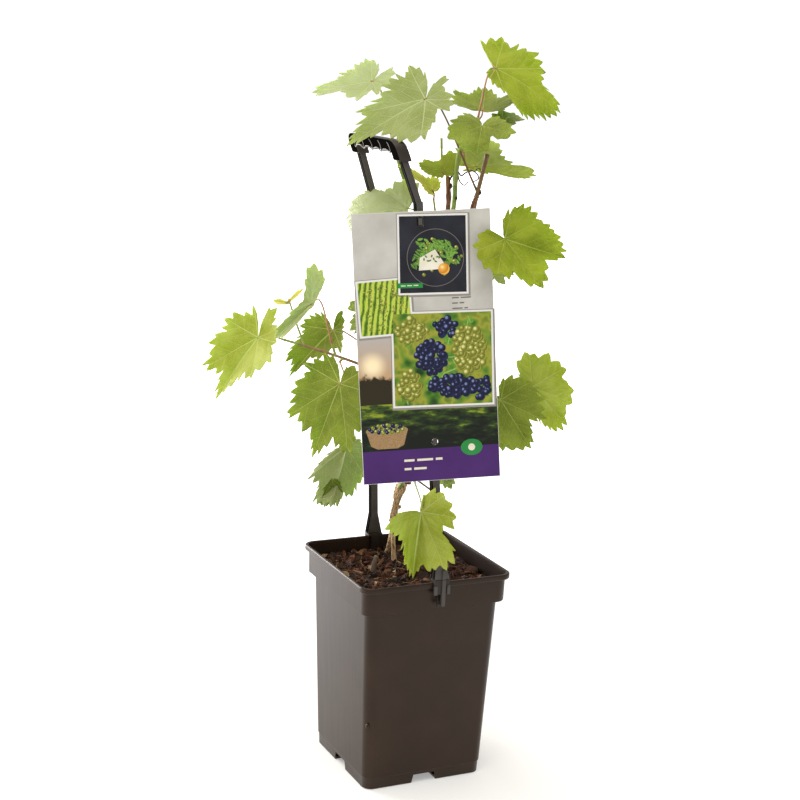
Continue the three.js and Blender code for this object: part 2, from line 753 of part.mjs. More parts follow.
function bladeSolid(blade) {
  const margin = bladeMargin();
  const count = margin.length;
  const points = [];
  for (const offset of [BLADE.thickness / 2, -BLADE.thickness / 2]) {
    points.push(bladePoint(blade, 0, 0, offset));
    for (const share of [0.5, 1]) {
      for (const [angle, reach] of margin) points.push(bladePoint(blade, angle, reach * share, offset));
    }
  }
  const layer = 1 + 2 * count;
  const index = [];
  for (let i = 0; i + 1 < count; i++) {
    const inner = 1 + i;
    const rim = 1 + count + i;
    const faces = [[0, inner, inner + 1], [inner, rim, rim + 1], [inner, rim + 1, inner + 1]];
    for (const [a, b, c] of faces) index.push(a, b, c, layer + c, layer + b, layer + a);
  }
  const edge = [0, 1, ...Array.from({ length: count }, (_, i) => 1 + count + i), count];
  edge.forEach((a, i) => {
    const b = edge[(i + 1) % edge.length];
    index.push(a, layer + a, layer + b, a, layer + b, b);
  });
  const geometry = new THREE.BufferGeometry();
  const positions = points.flatMap((p) => [p.x, p.y, p.z]);
  geometry.setAttribute('position', new THREE.Float32BufferAttribute(positions, 3));
  geometry.setIndex(index);
  return solid(geometry);
}

/** Stalk from a place on the stem to a blade, which it reaches through the sinus from below. */
function stalkSolid(start, blade) {
  const end = blade.base.clone().addScaledVector(blade.axes.rib, BLADE.stalkEnd);
  const span = start.distanceTo(end);
  const [back, down] = BLADE.stalkBow;
  const before = blade.base.clone()
    .addScaledVector(blade.axes.rib, -back * span)
    .addScaledVector(blade.axes.face, -down * span);
  return solid(limb([start.toArray(), before.toArray(), end.toArray()], BLADE.stalk, STALK_SIDES));
}

function massSolid({ from, stem, radii, blades }) {
  const curve = new THREE.CatmullRomCurve3(stem.map(V3));
  const parts = [solid(limb(stem, radii))];
  for (const [base, length, bearing, lift, turn, fold, droop, width, along] of blades) {
    const blade = { base: V3(base), length, fold, droop, width, axes: bladeAxes(bearing, lift, turn) };
    parts.push(bladeSolid(blade), stalkSolid(curve.getPoint(Math.min(along, STEM_END)), blade));
  }
  return join(parts).subtract(swollen(from));
}

// ---------------------------------------------------------------- the assembly
const plant = new THREE.Group();

function add(name, body, material) {
  const mesh = new THREE.Mesh(geometryOf(body), material);
  mesh.name = name;
  plant.add(mesh);
}

add('pot', potSolid(), MATERIALS.pot);
add('compost', compostSolid(), MATERIALS.compost);
add('handle_grip', gripSolid(), MATERIALS.handle);
for (const [where, side] of [['front', -1], ['back', 1]]) {
  const holders = side < 0 ? cardHolders() : [];
  add(`handle_leg_${where}_lower`, join([solid(lowerLeg(side)), ...holders]), MATERIALS.handle);
  add(`handle_leg_${where}_upper`, solid(upperLeg(side)), MATERIALS.handle);
  add(`handle_clip_${where}`, clipSolid(side), MATERIALS.handle);
}
add('picture_card', cardSolid(), MATERIALS.card);
add('trunk', limbSolids.trunk, MATERIALS.bark);
for (const name of Object.keys(LIMBS)) {
  add(name, limbSolids[name], name.startsWith('cane') ? MATERIALS.cane : MATERIALS.shoot);
}
for (const [name, plan] of Object.entries(FOLIAGE)) add(name, massSolid(plan), MATERIALS.leaf);
add('pruned_stub', solid(limb(STUB.path, STUB.radii)).subtract(ground()), MATERIALS.bark);

export default plant;
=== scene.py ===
"""Potted grapevine with a clip-on carrying handle and a picture card.

Laid out as an add-on and run as a script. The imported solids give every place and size. Here the pot,
compost, handle, card, wood and leaves get their finished shapes and their materials.
"""

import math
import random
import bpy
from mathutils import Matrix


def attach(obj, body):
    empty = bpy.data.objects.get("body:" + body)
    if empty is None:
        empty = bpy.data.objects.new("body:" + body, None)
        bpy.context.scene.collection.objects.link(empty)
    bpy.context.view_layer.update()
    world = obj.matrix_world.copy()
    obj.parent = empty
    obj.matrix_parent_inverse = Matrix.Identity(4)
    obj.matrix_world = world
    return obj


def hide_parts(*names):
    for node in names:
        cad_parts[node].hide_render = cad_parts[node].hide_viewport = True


bl_info = {
    "name": "Potted Grapevine",
    "version": (1, 0, 0),
    "blender": (4, 5, 0),
    "location": "View3D > Sidebar > Grapevine",
    "description": "Builds a potted grapevine with its carrying handle and picture card",
    "category": "Add Mesh",
}

import bmesh
import bpy
import numpy as np
from bpy.props import FloatProperty, IntProperty, PointerProperty
from mathutils import Matrix, Vector, noise

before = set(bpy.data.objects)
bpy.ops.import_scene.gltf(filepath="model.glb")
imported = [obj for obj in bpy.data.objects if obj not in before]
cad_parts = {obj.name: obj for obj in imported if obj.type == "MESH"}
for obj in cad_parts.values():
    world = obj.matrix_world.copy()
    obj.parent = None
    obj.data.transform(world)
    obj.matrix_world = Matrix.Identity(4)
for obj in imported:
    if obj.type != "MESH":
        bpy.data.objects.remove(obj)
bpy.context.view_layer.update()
MM = 0.001


def linear(code):
    """Linear red, green, blue and alpha of an sRGB hex colour."""
    parts = [int(code[i : i + 2], 16) / 255 for i in (1, 3, 5)]
    return tuple(c / 12.92 if c <= 0.04045 else ((c + 0.055) / 1.055) ** 2.4 for c in parts) + (1.0,)


# ------------------------------------------------------------------ the plant's plan, in millimetres
SOIL = 185
POT = {"height": 200, "rim": 75, "lip": 5, "collar": 71.6, "collar_height": 26.4, "shoulder": 66.5,
    "foot": 60}
TRUNK = {
    "path": ((5, 44, SOIL), (4, 40, 204), (2, 33, 235), (3, 27, 256), (5, 24, 266)),
    "roots": ((4, 30), (7, 59)),
    "head": (5, 23.5, 263.5),
}
STUB = ((-32, 7, SOIL - 5), (-29.5, 7, SOIL + 8), (-27, 6.5, SOIL + 17))

# Each limb: places it passes through, radii at its ends, and its bark
LIMBS = {
    "cane_left": (
        ((3, 25, 268), (7, 21, 319), (14, 9, 416), (21, 0, 491), (25, -4, 530), (24, -3, 556)), (3.3, 2.1),
        "cane"),
    "cane_right": (((9, 20, 266), (13, 5, 350), (22, -13, 447), (32, -27, 508), (38, -32, 540)), (2.9, 2.2),
    "cane"),
    "shoot_green": (((17.5, 4, 454), (22.5, -8, 496), (26, -13, 531), (27, -12, 560)), (2.3, 2.1), "shoot"),
    "shoot_back": (
        ((6, 22, 308), (1, 38, 364), (2, 43, 439), (3, 39, 505), (2, 37, 542), (-4, 39, 560)), (2.4, 1.8),
        "shoot"),
    "shoot_left": (((9.5, 17, 353), (-19, 10, 372), (-51, 8, 386), (-92, 23, 400), (-103, 28, 403)),
    (1.7, 1.1), "red"),
    "shoot_right": (((13.5, 5, 353), (31, -15, 356), (49, -36, 355), (56, -50, 358)), (1.8, 1.4), "shoot"),
    "shoot_low": (((2, 24, 262), (-6, 0, 275), (-12, -22, 286), (-17, -42, 290)), (1.8, 1.4), "shoot"),
}

# Each mass: its stem, the stem's radii, and its blades. A blade's fields: place of its base, length,
# bearing and lift of its upper face, turn of the midrib from downhill, fold, droop, width, how far
# along the stem its stalk springs (below 0 it has no stalk), and its green.
FOLIAGE = {
    "leaves_top_left": (((38.2, -32.2, 540.6), (41, -34, 557), (45, -36, 579)), (1.9, 1.9), (
        ((-7.5, -14, 625), 80, 225, 55, -44, 5, 15, 1, 0.12, "pale"),)),
    "leaves_top_right": (((27, -11.8, 560.6), (32, -14, 585), (43, -19, 610)), (1.9, 1.2), (
        ((54, -26.5, 653.5), 69, 254, 38, 64, -5, 35, 1, 1, "fresh"),
        ((59, 4, 616), 53, 240, 80, 180, 15, -20, 0.92, 0.85, "deep"),
        ((77, -5, 607), 22, 250, 65, 135, 10, 10, 1, 0.7, "pale"),
        ((52, -2, 566), 54, 265, 60, 67, -10, -10, 1, 0.45, "young"))),
    "leaves_crown": (((26.5, -12.5, 550), (23, -20, 570), (24, -25, 588)), (1.5, 1.2), (
        ((35.5, -41, 604), 36, 235, 65, 1, 15, 25, 1, 1, "deep"),)),
    "leaves_young_top": (((23.9, -2.9, 556.6), (19, -1, 567), (17, 0, 590)), (1.6, 0.9), (
        ((16, -9, 560), 25, 240, 30, -113, 10, 10, 1, 0.3, "young"),)),
    "leaves_young_left": (((23, -1.5, 508), (15, 0, 523), (12, 0, 536)), (1.4, 0.9), (
        ((11, 0, 543), 38.5, 275, 45, -149, 20, 10, 1, 1, "bud"),)),
    "leaves_back_left": (((-4.2, 39, 560.6), (-10, 40, 578), (-12, 42, 587)), (1.7, 1.3), (
        ((-31, 48.5, 637), 54, 245, 60, -76, 5, 10, 1, 1, "hazy"),)),
    "leaves_inner": (((3, 39, 505), (-6, 26, 514)), (1.5, 1.2), (
        ((-13.5, 1.5, 528), 62.5, 225, 45, -82, 0, 30, 1, 1, "hazy"),)),
    "leaves_right_upper": (((31, -25.5, 502), (44, -37, 500), (50, -55, 502)), (1.6, 1.2), (
        ((40.5, -84.5, 510.5), 55.5, 255, 5, 74, 20, 0, 1, 1, "fresh"),
        ((68, -11, 478), 27, 250, 30, 75, 10, 10, 1, 0.35, "pale"))),
    "leaves_right_lower": (((56.2, -50.4, 358.1), (63, -54, 362)), (1.3, 1.1), (
        ((55.5, -66.5, 363), 54.5, 240, -10, 32, 10, 10, 1, 0.4, "deep"),
        ((90, -61, 372), 46.5, 245, 15, 46, 5, 15, 1, 1, "young"))),
    "leaves_left_tip": (((-103.5, 28.3, 403.2), (-114, 34, 406)), (1.3, 1.1), (
        ((-136, 44, 407.5), 66, 210, 40, -17, 15, 15, 1, 1, "young"),)),
    "leaves_left_sprout": (((-98, 25.6, 401.5), (-105, 29, 421), (-112, 33, 444)), (1, 0.8), (
        ((-113.5, 32.5, 440), 13, 240, 20, -97, 20, 0, 1, 0.92, "bud"),
        ((-113, 29.5, 442), 18, 240, 30, 137, 20, 0, 1, 1, "bud"))),
    "leaves_left_upper": (((-72, 15, 393.5), (-76, 15, 405)), (1.3, 1.1), (
        ((-97, 14.5, 441.5), 46.5, 245, 35, -40, 50, -5, 1, 1, "hazy"),)),
    "leaves_left_front": (((-66, 12.5, 391), (-74, 0, 391)), (1.3, 1.1), (
        ((-83.5, -23, 376), 69, 225, 15, -16, 5, 10, 1, 1, "deep"),)),
    "leaves_left_low": (((5, 23, 290), (-29, 17, 300)), (1.5, 1.2), (
        ((-59, 12, 308), 56.5, 60, -15, 10, 20, 25, 1, 1, "pale"),
        ((-76, 2, 281), 26, 250, -10, -2, 10, -10, 1, -1, "shaded"))),
    "leaves_left_inner": (((11, 15, 372), (-22, 22, 388)), (1.5, 1.2), (
        ((-62.5, 45, 411.5), 59.5, 230, 50, -31, 20, 20, 1, 1, "deep"),
        ((-36, 7, 436), 33, 240, 15, -50, 10, 10, 1, 0.6, "pale"))),
    "leaves_low_front": (((-17.1, -42.4, 290), (-20, -53, 289)), (1.3, 1.1), (
        ((-23, -74.5, 267.5), 63.5, 260, -10, -2, 45, -5, 1, 1, "young"),)),
    "leaves_low_right": (((11.3, 12, 318), (20, -6, 311)), (1.3, 1.1), (
        ((20, -23, 297), 27, 255, 5, 25, 20, 10, 1, 1, "pale"),)),
    "leaves_back_upper": (((2, 43, 450), (16, 52, 462)), (1.5, 1.2), (
        ((35, 50, 485), 58, 50, 35, 0, 10, 15, 0.9, 1, "fresh"),
        ((20, 70, 442), 56, 90, 30, 5, 10, 20, 0.9, 0.6, "pale"))),
    "leaves_back_middle": (((1, 41, 385), (14, 50, 392)), (1.5, 1.2), (
        ((52, 46, 412), 62, 35, 25, -10, 10, 15, 0.9, 1, "deep"),
        ((28, 66, 370), 54, 85, 25, -10, 10, 15, 0.9, 0.6, "fresh"))),
    "leaves_back_lower": (((12, 11, 322), (28, 22, 330)), (1.5, 1.2), (
        ((52, 30, 345), 60, 20, 30, 10, 10, 15, 0.9, 1, "fresh"),
        ((30, 52, 338), 56, 75, 20, -5, 10, 15, 0.9, 0.7, "deep"))),
}

# Reach of half a blade, as a share of its length, at angles from the midrib
LOBES = ((0, 1.02), (12, 0.86), (27, 0.67), (46, 0.8), (60, 0.69), (76, 0.55), (97, 0.63), (117, 0.51),
         (140, 0.4), (158, 0.31), (171, 0.1))
# Blades with their own margin: the same reach, left and right of the midrib, beyond a tip at (0, 1).
# It lists the lobes and the notches between them, up to the sinus where the stalk joins.
MARGINS = {
    ("leaves_top_left", 0): (
        ((10, 0.8), (20, 0.67), (25, 0.75), (35, 0.55), (57, 0.47), (75, 0.54), (93, 0.49), (102, 0.6),
        (120, 0.4),
         (128, 0.08)),
        ((15, 0.62), (40, 0.74), (58, 0.78), (70, 0.55), (90, 0.3), (100, 0.37), (150, 0.27), (190, 0.24),
         (208, 0.43), (220, 0.3), (227, 0.08))),
    ("leaves_back_left", 0): (
        ((8, 0.85), (14, 0.62), (65, 0.46), (100, 0.6), (120, 0.38), (127, 0.08)),
        ((10, 0.93), (20, 0.55), (38, 0.66), (55, 0.68), (75, 0.38), (90, 0.43), (115, 0.23), (130, 0.3),
         (190, 0.35), (220, 0.54), (229, 0.08))),
    ("leaves_top_right", 0): (
        ((10, 0.93), (18, 0.83), (33, 0.72), (45, 0.35), (130, 0.12), (170, 0.06)),
        ((6, 0.95), (14, 0.65), (35, 0.67), (52, 0.64), (70, 0.55), (88, 0.45), (98, 0.53), (112, 0.5),
        (135, 0.44),
         (142, 0.2), (156, 0.06))),
    ("leaves_crown", 0): (
        ((20, 1.03), (36, 0.92), (42, 1.04), (55, 0.93), (90, 0.65), (120, 0.6), (143, 0.72), (155, 0.5),
         (172, 0.08)),
        ((12, 1.0), (30, 0.6), (38, 0.88), (57, 1.02), (68, 0.85), (90, 0.6), (122, 0.5), (148, 0.5),
        (160, 0.38),
         (172, 0.08))),
    ("leaves_top_right", 3): (
        ((5, 0.92), (10, 0.7), (14, 0.32), (80, 0.12), (140, 0.27), (146, 0.06)),
        ((22, 0.95), (28, 0.72), (45, 0.75), (68, 1.02), (76, 1.35), (84, 1.2), (98, 0.97), (112, 0.76),
         (135, 0.52), (165, 0.36), (197, 0.3), (203, 0.06))),
    ("leaves_young_left", 0): (
        ((25, 0.4), (55, 0.37), (75, 0.34), (95, 0.24), (130, 0.1)),
        ((12, 0.8), (18, 0.32), (64, 0.3), (130, 0.15), (170, 0.06))),
    ("leaves_young_top", 0): (
        ((12, 0.85), (38, 0.5), (65, 0.65), (85, 0.88), (100, 0.8), (118, 0.62), (150, 0.35), (180, 0.26),
         (194, 0.06)),
        ((12, 0.84), (25, 0.65), (66, 0.28), (130, 0.14), (150, 0.06))),
    ("leaves_inner", 0): (
        ((18, 1.06), (30, 0.9), (38, 0.75), (45, 0.52), (92, 0.53), (108, 0.4), (118, 0.16), (130, 0.06)),
        ((20, 0.88), (52, 0.67), (72, 0.57), (105, 0.28), (122, 0.06))),
    ("leaves_left_tip", 0): (
        ((15, 0.68), (28, 0.83), (40, 0.68), (56, 0.64), (72, 0.5), (86, 0.57), (106, 0.46), (121, 0.4),
         (130, 0.48), (140, 0.08)),
        ((8, 0.8), (28, 0.6), (42, 0.73), (54, 0.66), (70, 0.67), (85, 0.48), (100, 0.4), (135, 0.33),
        (160, 0.27),
         (200, 0.47), (215, 0.08))),
    ("leaves_left_upper", 0): (
        ((6, 0.95), (20, 0.5), (57, 0.22), (95, 0.27), (113, 0.6), (127, 0.77), (142, 0.68), (158, 0.55),
         (172, 0.15), (190, 0.06)),
        ((12, 1.0), (20, 0.5), (30, 0.16), (130, 0.08), (170, 0.06))),
    ("leaves_left_inner", 0): (
        ((7, 0.82), (13, 0.84), (25, 0.62), (43, 0.45), (55, 0.48), (80, 0.4), (103, 0.32), (115, 0.1)),
        ((5, 0.85), (12, 0.57), (26, 0.62), (52, 0.43), (63, 0.63), (72, 0.42), (105, 0.2), (155, 0.17),
         (190, 0.28), (207, 0.36), (222, 0.08))),
    ("leaves_left_front", 0): (
        ((7, 0.78), (15, 0.72), (24, 0.74), (32, 0.69), (37, 0.81), (48, 0.66), (60, 0.62), (88, 0.46),
        (96, 0.5),
         (118, 0.4), (130, 0.41), (148, 0.29), (157, 0.06)),
        ((8, 0.84), (17, 0.73), (31, 0.88), (48, 0.64), (55, 0.67), (65, 0.57), (78, 0.56), (93, 0.53),
         (118, 0.41), (150, 0.3), (175, 0.27), (190, 0.06))),
    ("leaves_left_low", 0): (
        ((7, 0.9), (12, 0.75), (18, 0.78), (35, 0.6), (50, 0.56), (72, 0.4), (95, 0.29), (150, 0.22),
        (168, 0.06)),
        ((6, 0.98), (18, 1.0), (26, 0.73), (40, 0.76), (48, 0.62), (57, 0.4), (85, 0.13), (130, 0.08),
         (170, 0.06))),
    ("leaves_left_low", 1): (
        ((11, 0.94), (25, 1.0), (30, 0.58), (42, 0.5), (55, 0.16), (150, 0.06)),
        ((16, 0.83), (45, 0.48), (72, 0.26), (150, 0.06))),
    ("leaves_low_front", 0): (
        ((12, 0.84), (28, 0.72), (38, 0.6), (56, 0.55), (78, 0.63), (97, 0.92), (108, 0.75), (114, 0.3),
         (120, 0.06)),
        ((8, 0.79), (17, 0.88), (24, 0.8), (32, 0.85), (44, 0.8), (56, 0.7), (63, 0.4), (72, 0.36), (85, 0.5),
         (100, 0.54), (127, 0.48), (143, 0.48), (170, 0.32), (190, 0.2), (200, 0.06))),
    ("leaves_right_upper", 0): (
        ((12, 0.75), (22, 0.84), (36, 0.93), (48, 0.8), (62, 0.56), (89, 0.59), (119, 0.57), (144, 0.52),
         (160, 0.44), (190, 0.32), (200, 0.06)),
        ((14, 0.9), (25, 0.8), (36, 0.71), (50, 0.61), (73, 0.62), (90, 0.56), (103, 0.45), (118, 0.32),
         (124, 0.12), (138, 0.06))),
    ("leaves_right_lower", 0): (
        ((20, 0.9), (37, 0.82), (54, 0.75), (73, 0.65), (95, 0.56), (118, 0.44), (144, 0.34), (170, 0.27),
         (177, 0.06)),
        ((14, 0.76), (26, 0.6), (36, 0.73), (52, 0.7), (68, 0.65), (97, 0.6), (121, 0.5), (154, 0.3),
        (166, 0.06))),
    ("leaves_right_lower", 1): (
        ((15, 0.95), (27, 0.75), (40, 0.55), (62, 0.37), (101, 0.26), (130, 0.13), (150, 0.06)),
        ((14, 0.78), (25, 0.82), (45, 0.78), (62, 0.63), (77, 0.74), (92, 0.69), (117, 0.66), (128, 0.6),
         (140, 0.67), (160, 0.6), (182, 0.35), (200, 0.06))),
    ("leaves_left_sprout", 0): (((24, 0.5), (40, 0.2), (150, 0.06)), ((24, 0.6), (40, 0.25), (150, 0.06))),
    ("leaves_left_sprout", 1): (((12, 0.5), (30, 0.16), (150, 0.06)), ((12, 0.6), (25, 0.16), (150, 0.06))),
}
RIBS = (0, 47, 97, 140)  # degrees from the midrib at which main veins leave the base
SIDE_VEIN_PITCH = 0.165  # spacing of the side veins along a main vein, as a share of the blade's length
SIDE_VEIN_RAKE = 0.95  # how far a side vein runs on along its main vein for each step away from it
BLADE_SHARES = (0.05, 0.14, 0.24, 0.35, 0.46, 0.56, 0.66, 0.75, 0.83, 0.9, 0.955, 1.0)


# ------------------------------------------------------------------ curves and meshes
def cubic(t, start, start_slope, end, end_slope):
    """Smooth run from start to end, with the slopes that it has there."""
    return (
        (2 * t**3 - 3 * t**2 + 1) * start + (t**3 - 2 * t**2 + t) * start_slope
        + (-2 * t**3 + 3 * t**2) * end + (t**3 - t**2) * end_slope)


def smooth_line(places, count):
    """Evenly spaced points on a centripetal curve through the places, in metres."""
    pts = np.array(places, float)
    pts = np.vstack([2 * pts[0] - pts[1], pts, 2 * pts[-1] - pts[-2]])
    fine = []
    for i in range(1, len(pts) - 2):
        p0, p1, p2, p3 = pts[i - 1 : i + 3]
        d0, d1, d2 = (max(np.linalg.norm(b - a) ** 0.5, 1e-4) for a, b in ((p0, p1), (p1, p2), (p2, p3)))
        m1 = ((p1 - p0) / d0 - (p2 - p0) / (d0 + d1) + (p2 - p1) / d1) * d1
        m2 = ((p2 - p1) / d1 - (p3 - p1) / (d1 + d2) + (p3 - p2) / d2) * d1
        t = np.linspace(0, 1, 24, endpoint=i == len(pts) - 3)[:, None]
        fine.append(cubic(t, p1, m1, p2, m2))
    fine = np.vstack(fine)
    run = np.concatenate([[0], np.cumsum(np.linalg.norm(np.diff(fine, axis=0), axis=1))])
    want = np.linspace(0, run[-1], count)
    return np.stack([np.interp(want, run, fine[:, k]) for k in range(3)], 1) * MM


def tube(line, radii, sides, relief=None, slot=0):
    """Part for a closed tube along a line. radii holds one radius a point, and relief(i, angle) scales it."""
    line = np.asarray(line)
    ahead = np.gradient(line, axis=0)
    ahead /= np.linalg.norm(ahead, axis=1)[:, None]
    start = np.cross(ahead[0], (0.0, 0.0, 1.0))
    if np.linalg.norm(start) < 0.1:
        start = np.cross(ahead[0], (0.0, 1.0, 0.0))
    normal = start / np.linalg.norm(start)
    angles = np.linspace(0, 2 * math.pi, sides, endpoint=False)
    points = []
    for i, (place, way) in enumerate(zip(line, ahead)):
        normal = normal - way * normal.dot(way)
        normal /= np.linalg.norm(normal)
        other = np.cross(way, normal)
        scale = np.array([relief(i, a) for a in angles]) if relief else np.ones(sides)
        ring = place + (np.cos(angles)[:, None] * normal
            + np.sin(angles)[:, None] * other) * (radii[i] * scale)[:, None]
        points.append(ring)
    count = len(line)
    points = np.vstack(points + [line[:1] - ahead[:1] * radii[0] * 0.3,
        line[-1:] + ahead[-1:] * radii[-1] * 0.3])
    faces = []
    for r in range(count - 1):
        for k in range(sides):
            a, b = r * sides + k, r * sides + (k + 1) % sides
            faces.append((a, b, b + sides, a + sides))
    low, top = count * sides, (count - 1) * sides
    for k in range(sides):
        n = (k + 1) % sides
        faces.append((n, k, low))
        faces.append((top + k, top + n, low + 1))
    return {"points": points, "faces": faces, "slots": slot}


def smooth_table(x, table):
    """Value at x on a smooth curve through a table of pairs."""
    xs = np.array([row[0] for row in table], float)
    ys = np.array([row[1] for row in table], float)
    steps = np.diff(ys) / np.diff(xs)
    turns = steps[1:] * steps[:-1]
    inner = np.where(turns > 0, 2 * turns / np.where(turns > 0, steps[1:] + steps[:-1], 1), 0)
    slopes = np.concatenate([steps[:1], inner, steps[-1:]])
    i = np.clip(np.searchsorted(xs, x) - 1, 0, len(xs) - 2)
    step = xs[i + 1] - xs[i]
    t = (x - xs[i]) / step
    return cubic(t, ys[i], step * slopes[i], ys[i + 1], step * slopes[i + 1])


def make_piece(name, parts, materials):
    """One object from parts, each a dict of points, faces, slots and, if wanted, uv and values."""
    points, faces, slots, offset = [], [], [], 0
    for part in parts:
        points.append(np.asarray(part["points"]))
        faces.extend(tuple(v + offset for v in face) for face in part["faces"])
        slot = part.get("slots", 0)
        slots.extend(slot if isinstance(slot, list) else [slot] * len(part["faces"]))
        offset += len(part["points"])
    mesh = bpy.data.meshes.new(name)
    mesh.from_pydata(np.vstack(points).tolist(), [], faces)
    mesh.polygons.foreach_set("material_index", slots)
    mesh.polygons.foreach_set("use_smooth", [True] * len(faces))
    for layer in parts[0].get("uv", {}):
        coords = np.vstack([part["uv"][layer] for part in parts])
        mesh.uv_layers.new(name=layer).data.foreach_set("uv", coords.ravel())
    for layer in parts[0].get("values", {}):
        values = np.concatenate([part["values"][layer] for part in parts])
        mesh.attributes.new(layer, "FLOAT", "POINT").data.foreach_set("value", values)
    for material in materials:
        mesh.materials.append(material)
    mesh.update()
    piece = bpy.data.objects.new(name, mesh)
    bpy.context.scene.collection.objects.link(piece)
    return piece


def settle(piece, slot, *nodes):
    """Puts a finished piece on the plant's body, in place of its nodes."""
    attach(piece, "root")
    if nodes:
        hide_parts(*nodes)


# ------------------------------------------------------------------ modelling by hand
def deselect():
    if bpy.context.object and bpy.context.object.mode != "OBJECT":
        bpy.ops.object.mode_set(mode="OBJECT")
    bpy.ops.object.select_all(action="DESELECT")


def activate(piece):
    """Selects one object alone."""
    deselect()
    piece.select_set(True)
    bpy.context.view_layer.objects.active = piece


def named(name, material):
    """Names the object just added and gives it its material."""
    piece = bpy.context.object
    piece.name = piece.data.name = name
    piece.data.materials.clear()
    piece.data.materials.append(material)
    return piece


def freeze(piece):
    """Applies an object's place, turn and scale to its mesh."""
    activate(piece)
    bpy.ops.object.transform_apply(location=True, rotation=True, scale=True)


def finish(piece, kind, **settings):
    """Adds one modifier with its settings and applies it."""
    activate(piece)
    modifier = piece.modifiers.new(kind.lower(), kind)
    for key, value in settings.items():
        setattr(modifier, key, value)
    bpy.ops.object.modifier_apply(modifier=modifier.name)


def block(middle, size):
    """Adds a box with its size applied. Its middle and its size are in millimetres."""
    deselect()
    bpy.ops.mesh.primitive_cube_add(size=1, location=[c * MM for c in middle])
    made = bpy.context.object
    made.scale = [c * MM for c in size]
    freeze(made)
    return made


def join_pieces(pieces):
    """Joins objects into the first one."""
    deselect()
    for piece in pieces:
        piece.select_set(True)
    bpy.context.view_layer.objects.active = pieces[0]
    bpy.ops.object.join()
    return pieces[0]


def smooth_by_angle(piece, degrees=35):
    activate(piece)
    bpy.ops.object.shade_smooth_by_angle(angle=math.radians(degrees))


def cut(piece, cutters):
    """Takes the cutters' shapes out of a piece and removes them."""
    for cutter in cutters:
        finish(piece, "BOOLEAN", operation="DIFFERENCE", object=cutter, solver="EXACT")
        bpy.data.objects.remove(cutter)


def copy_node(name, node):
    """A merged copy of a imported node's mesh, to be given its edges."""
    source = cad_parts[node]
    piece = bpy.data.objects.new(name, source.data.copy())
    bpy.context.scene.collection.objects.link(piece)
    activate(piece)
    bpy.ops.object.mode_set(mode="EDIT")
    bpy.ops.mesh.select_all(action="SELECT")
    bpy.ops.mesh.remove_doubles(threshold=2e-6)
    bpy.ops.mesh.dissolve_limited(angle_limit=math.radians(1.5))
    bpy.ops.object.mode_set(mode="OBJECT")
    return piece


# ------------------------------------------------------------------ materials
def add(tree, kind, inputs=(), out=None, stops=(), **settings):
    """Adds a shader node and gives back one output: the first in use, or the one that out names.

    inputs are values, hex colours or the outputs that feed the node, in its own order or by name. stops
    are the places and hex colours of a colour ramp.
    """
    made = tree.nodes.new("ShaderNode" + kind)
    for key, value in settings.items():
        setattr(made, key, value)
    for key, value in inputs.items() if isinstance(inputs, dict) else enumerate(inputs):
        if isinstance(value, bpy.types.NodeSocket):
            tree.links.new(value, made.inputs[key])
        else:
            made.inputs[key].default_value = linear(value) if isinstance(value, str) else value
    if stops:
        elements = made.color_ramp.elements
        while len(elements) < len(stops):
            elements.new(0.5)
        for element, (place, code) in zip(elements, stops):
            element.position = place
            element.color = linear(code)
    return made.outputs[out] if out else next((socket for socket in made.outputs if socket.enabled), None)


def new_material(name):
    material = bpy.data.materials.new(name)
    material.use_nodes = True
    material.node_tree.nodes.clear()
    return material, material.node_tree


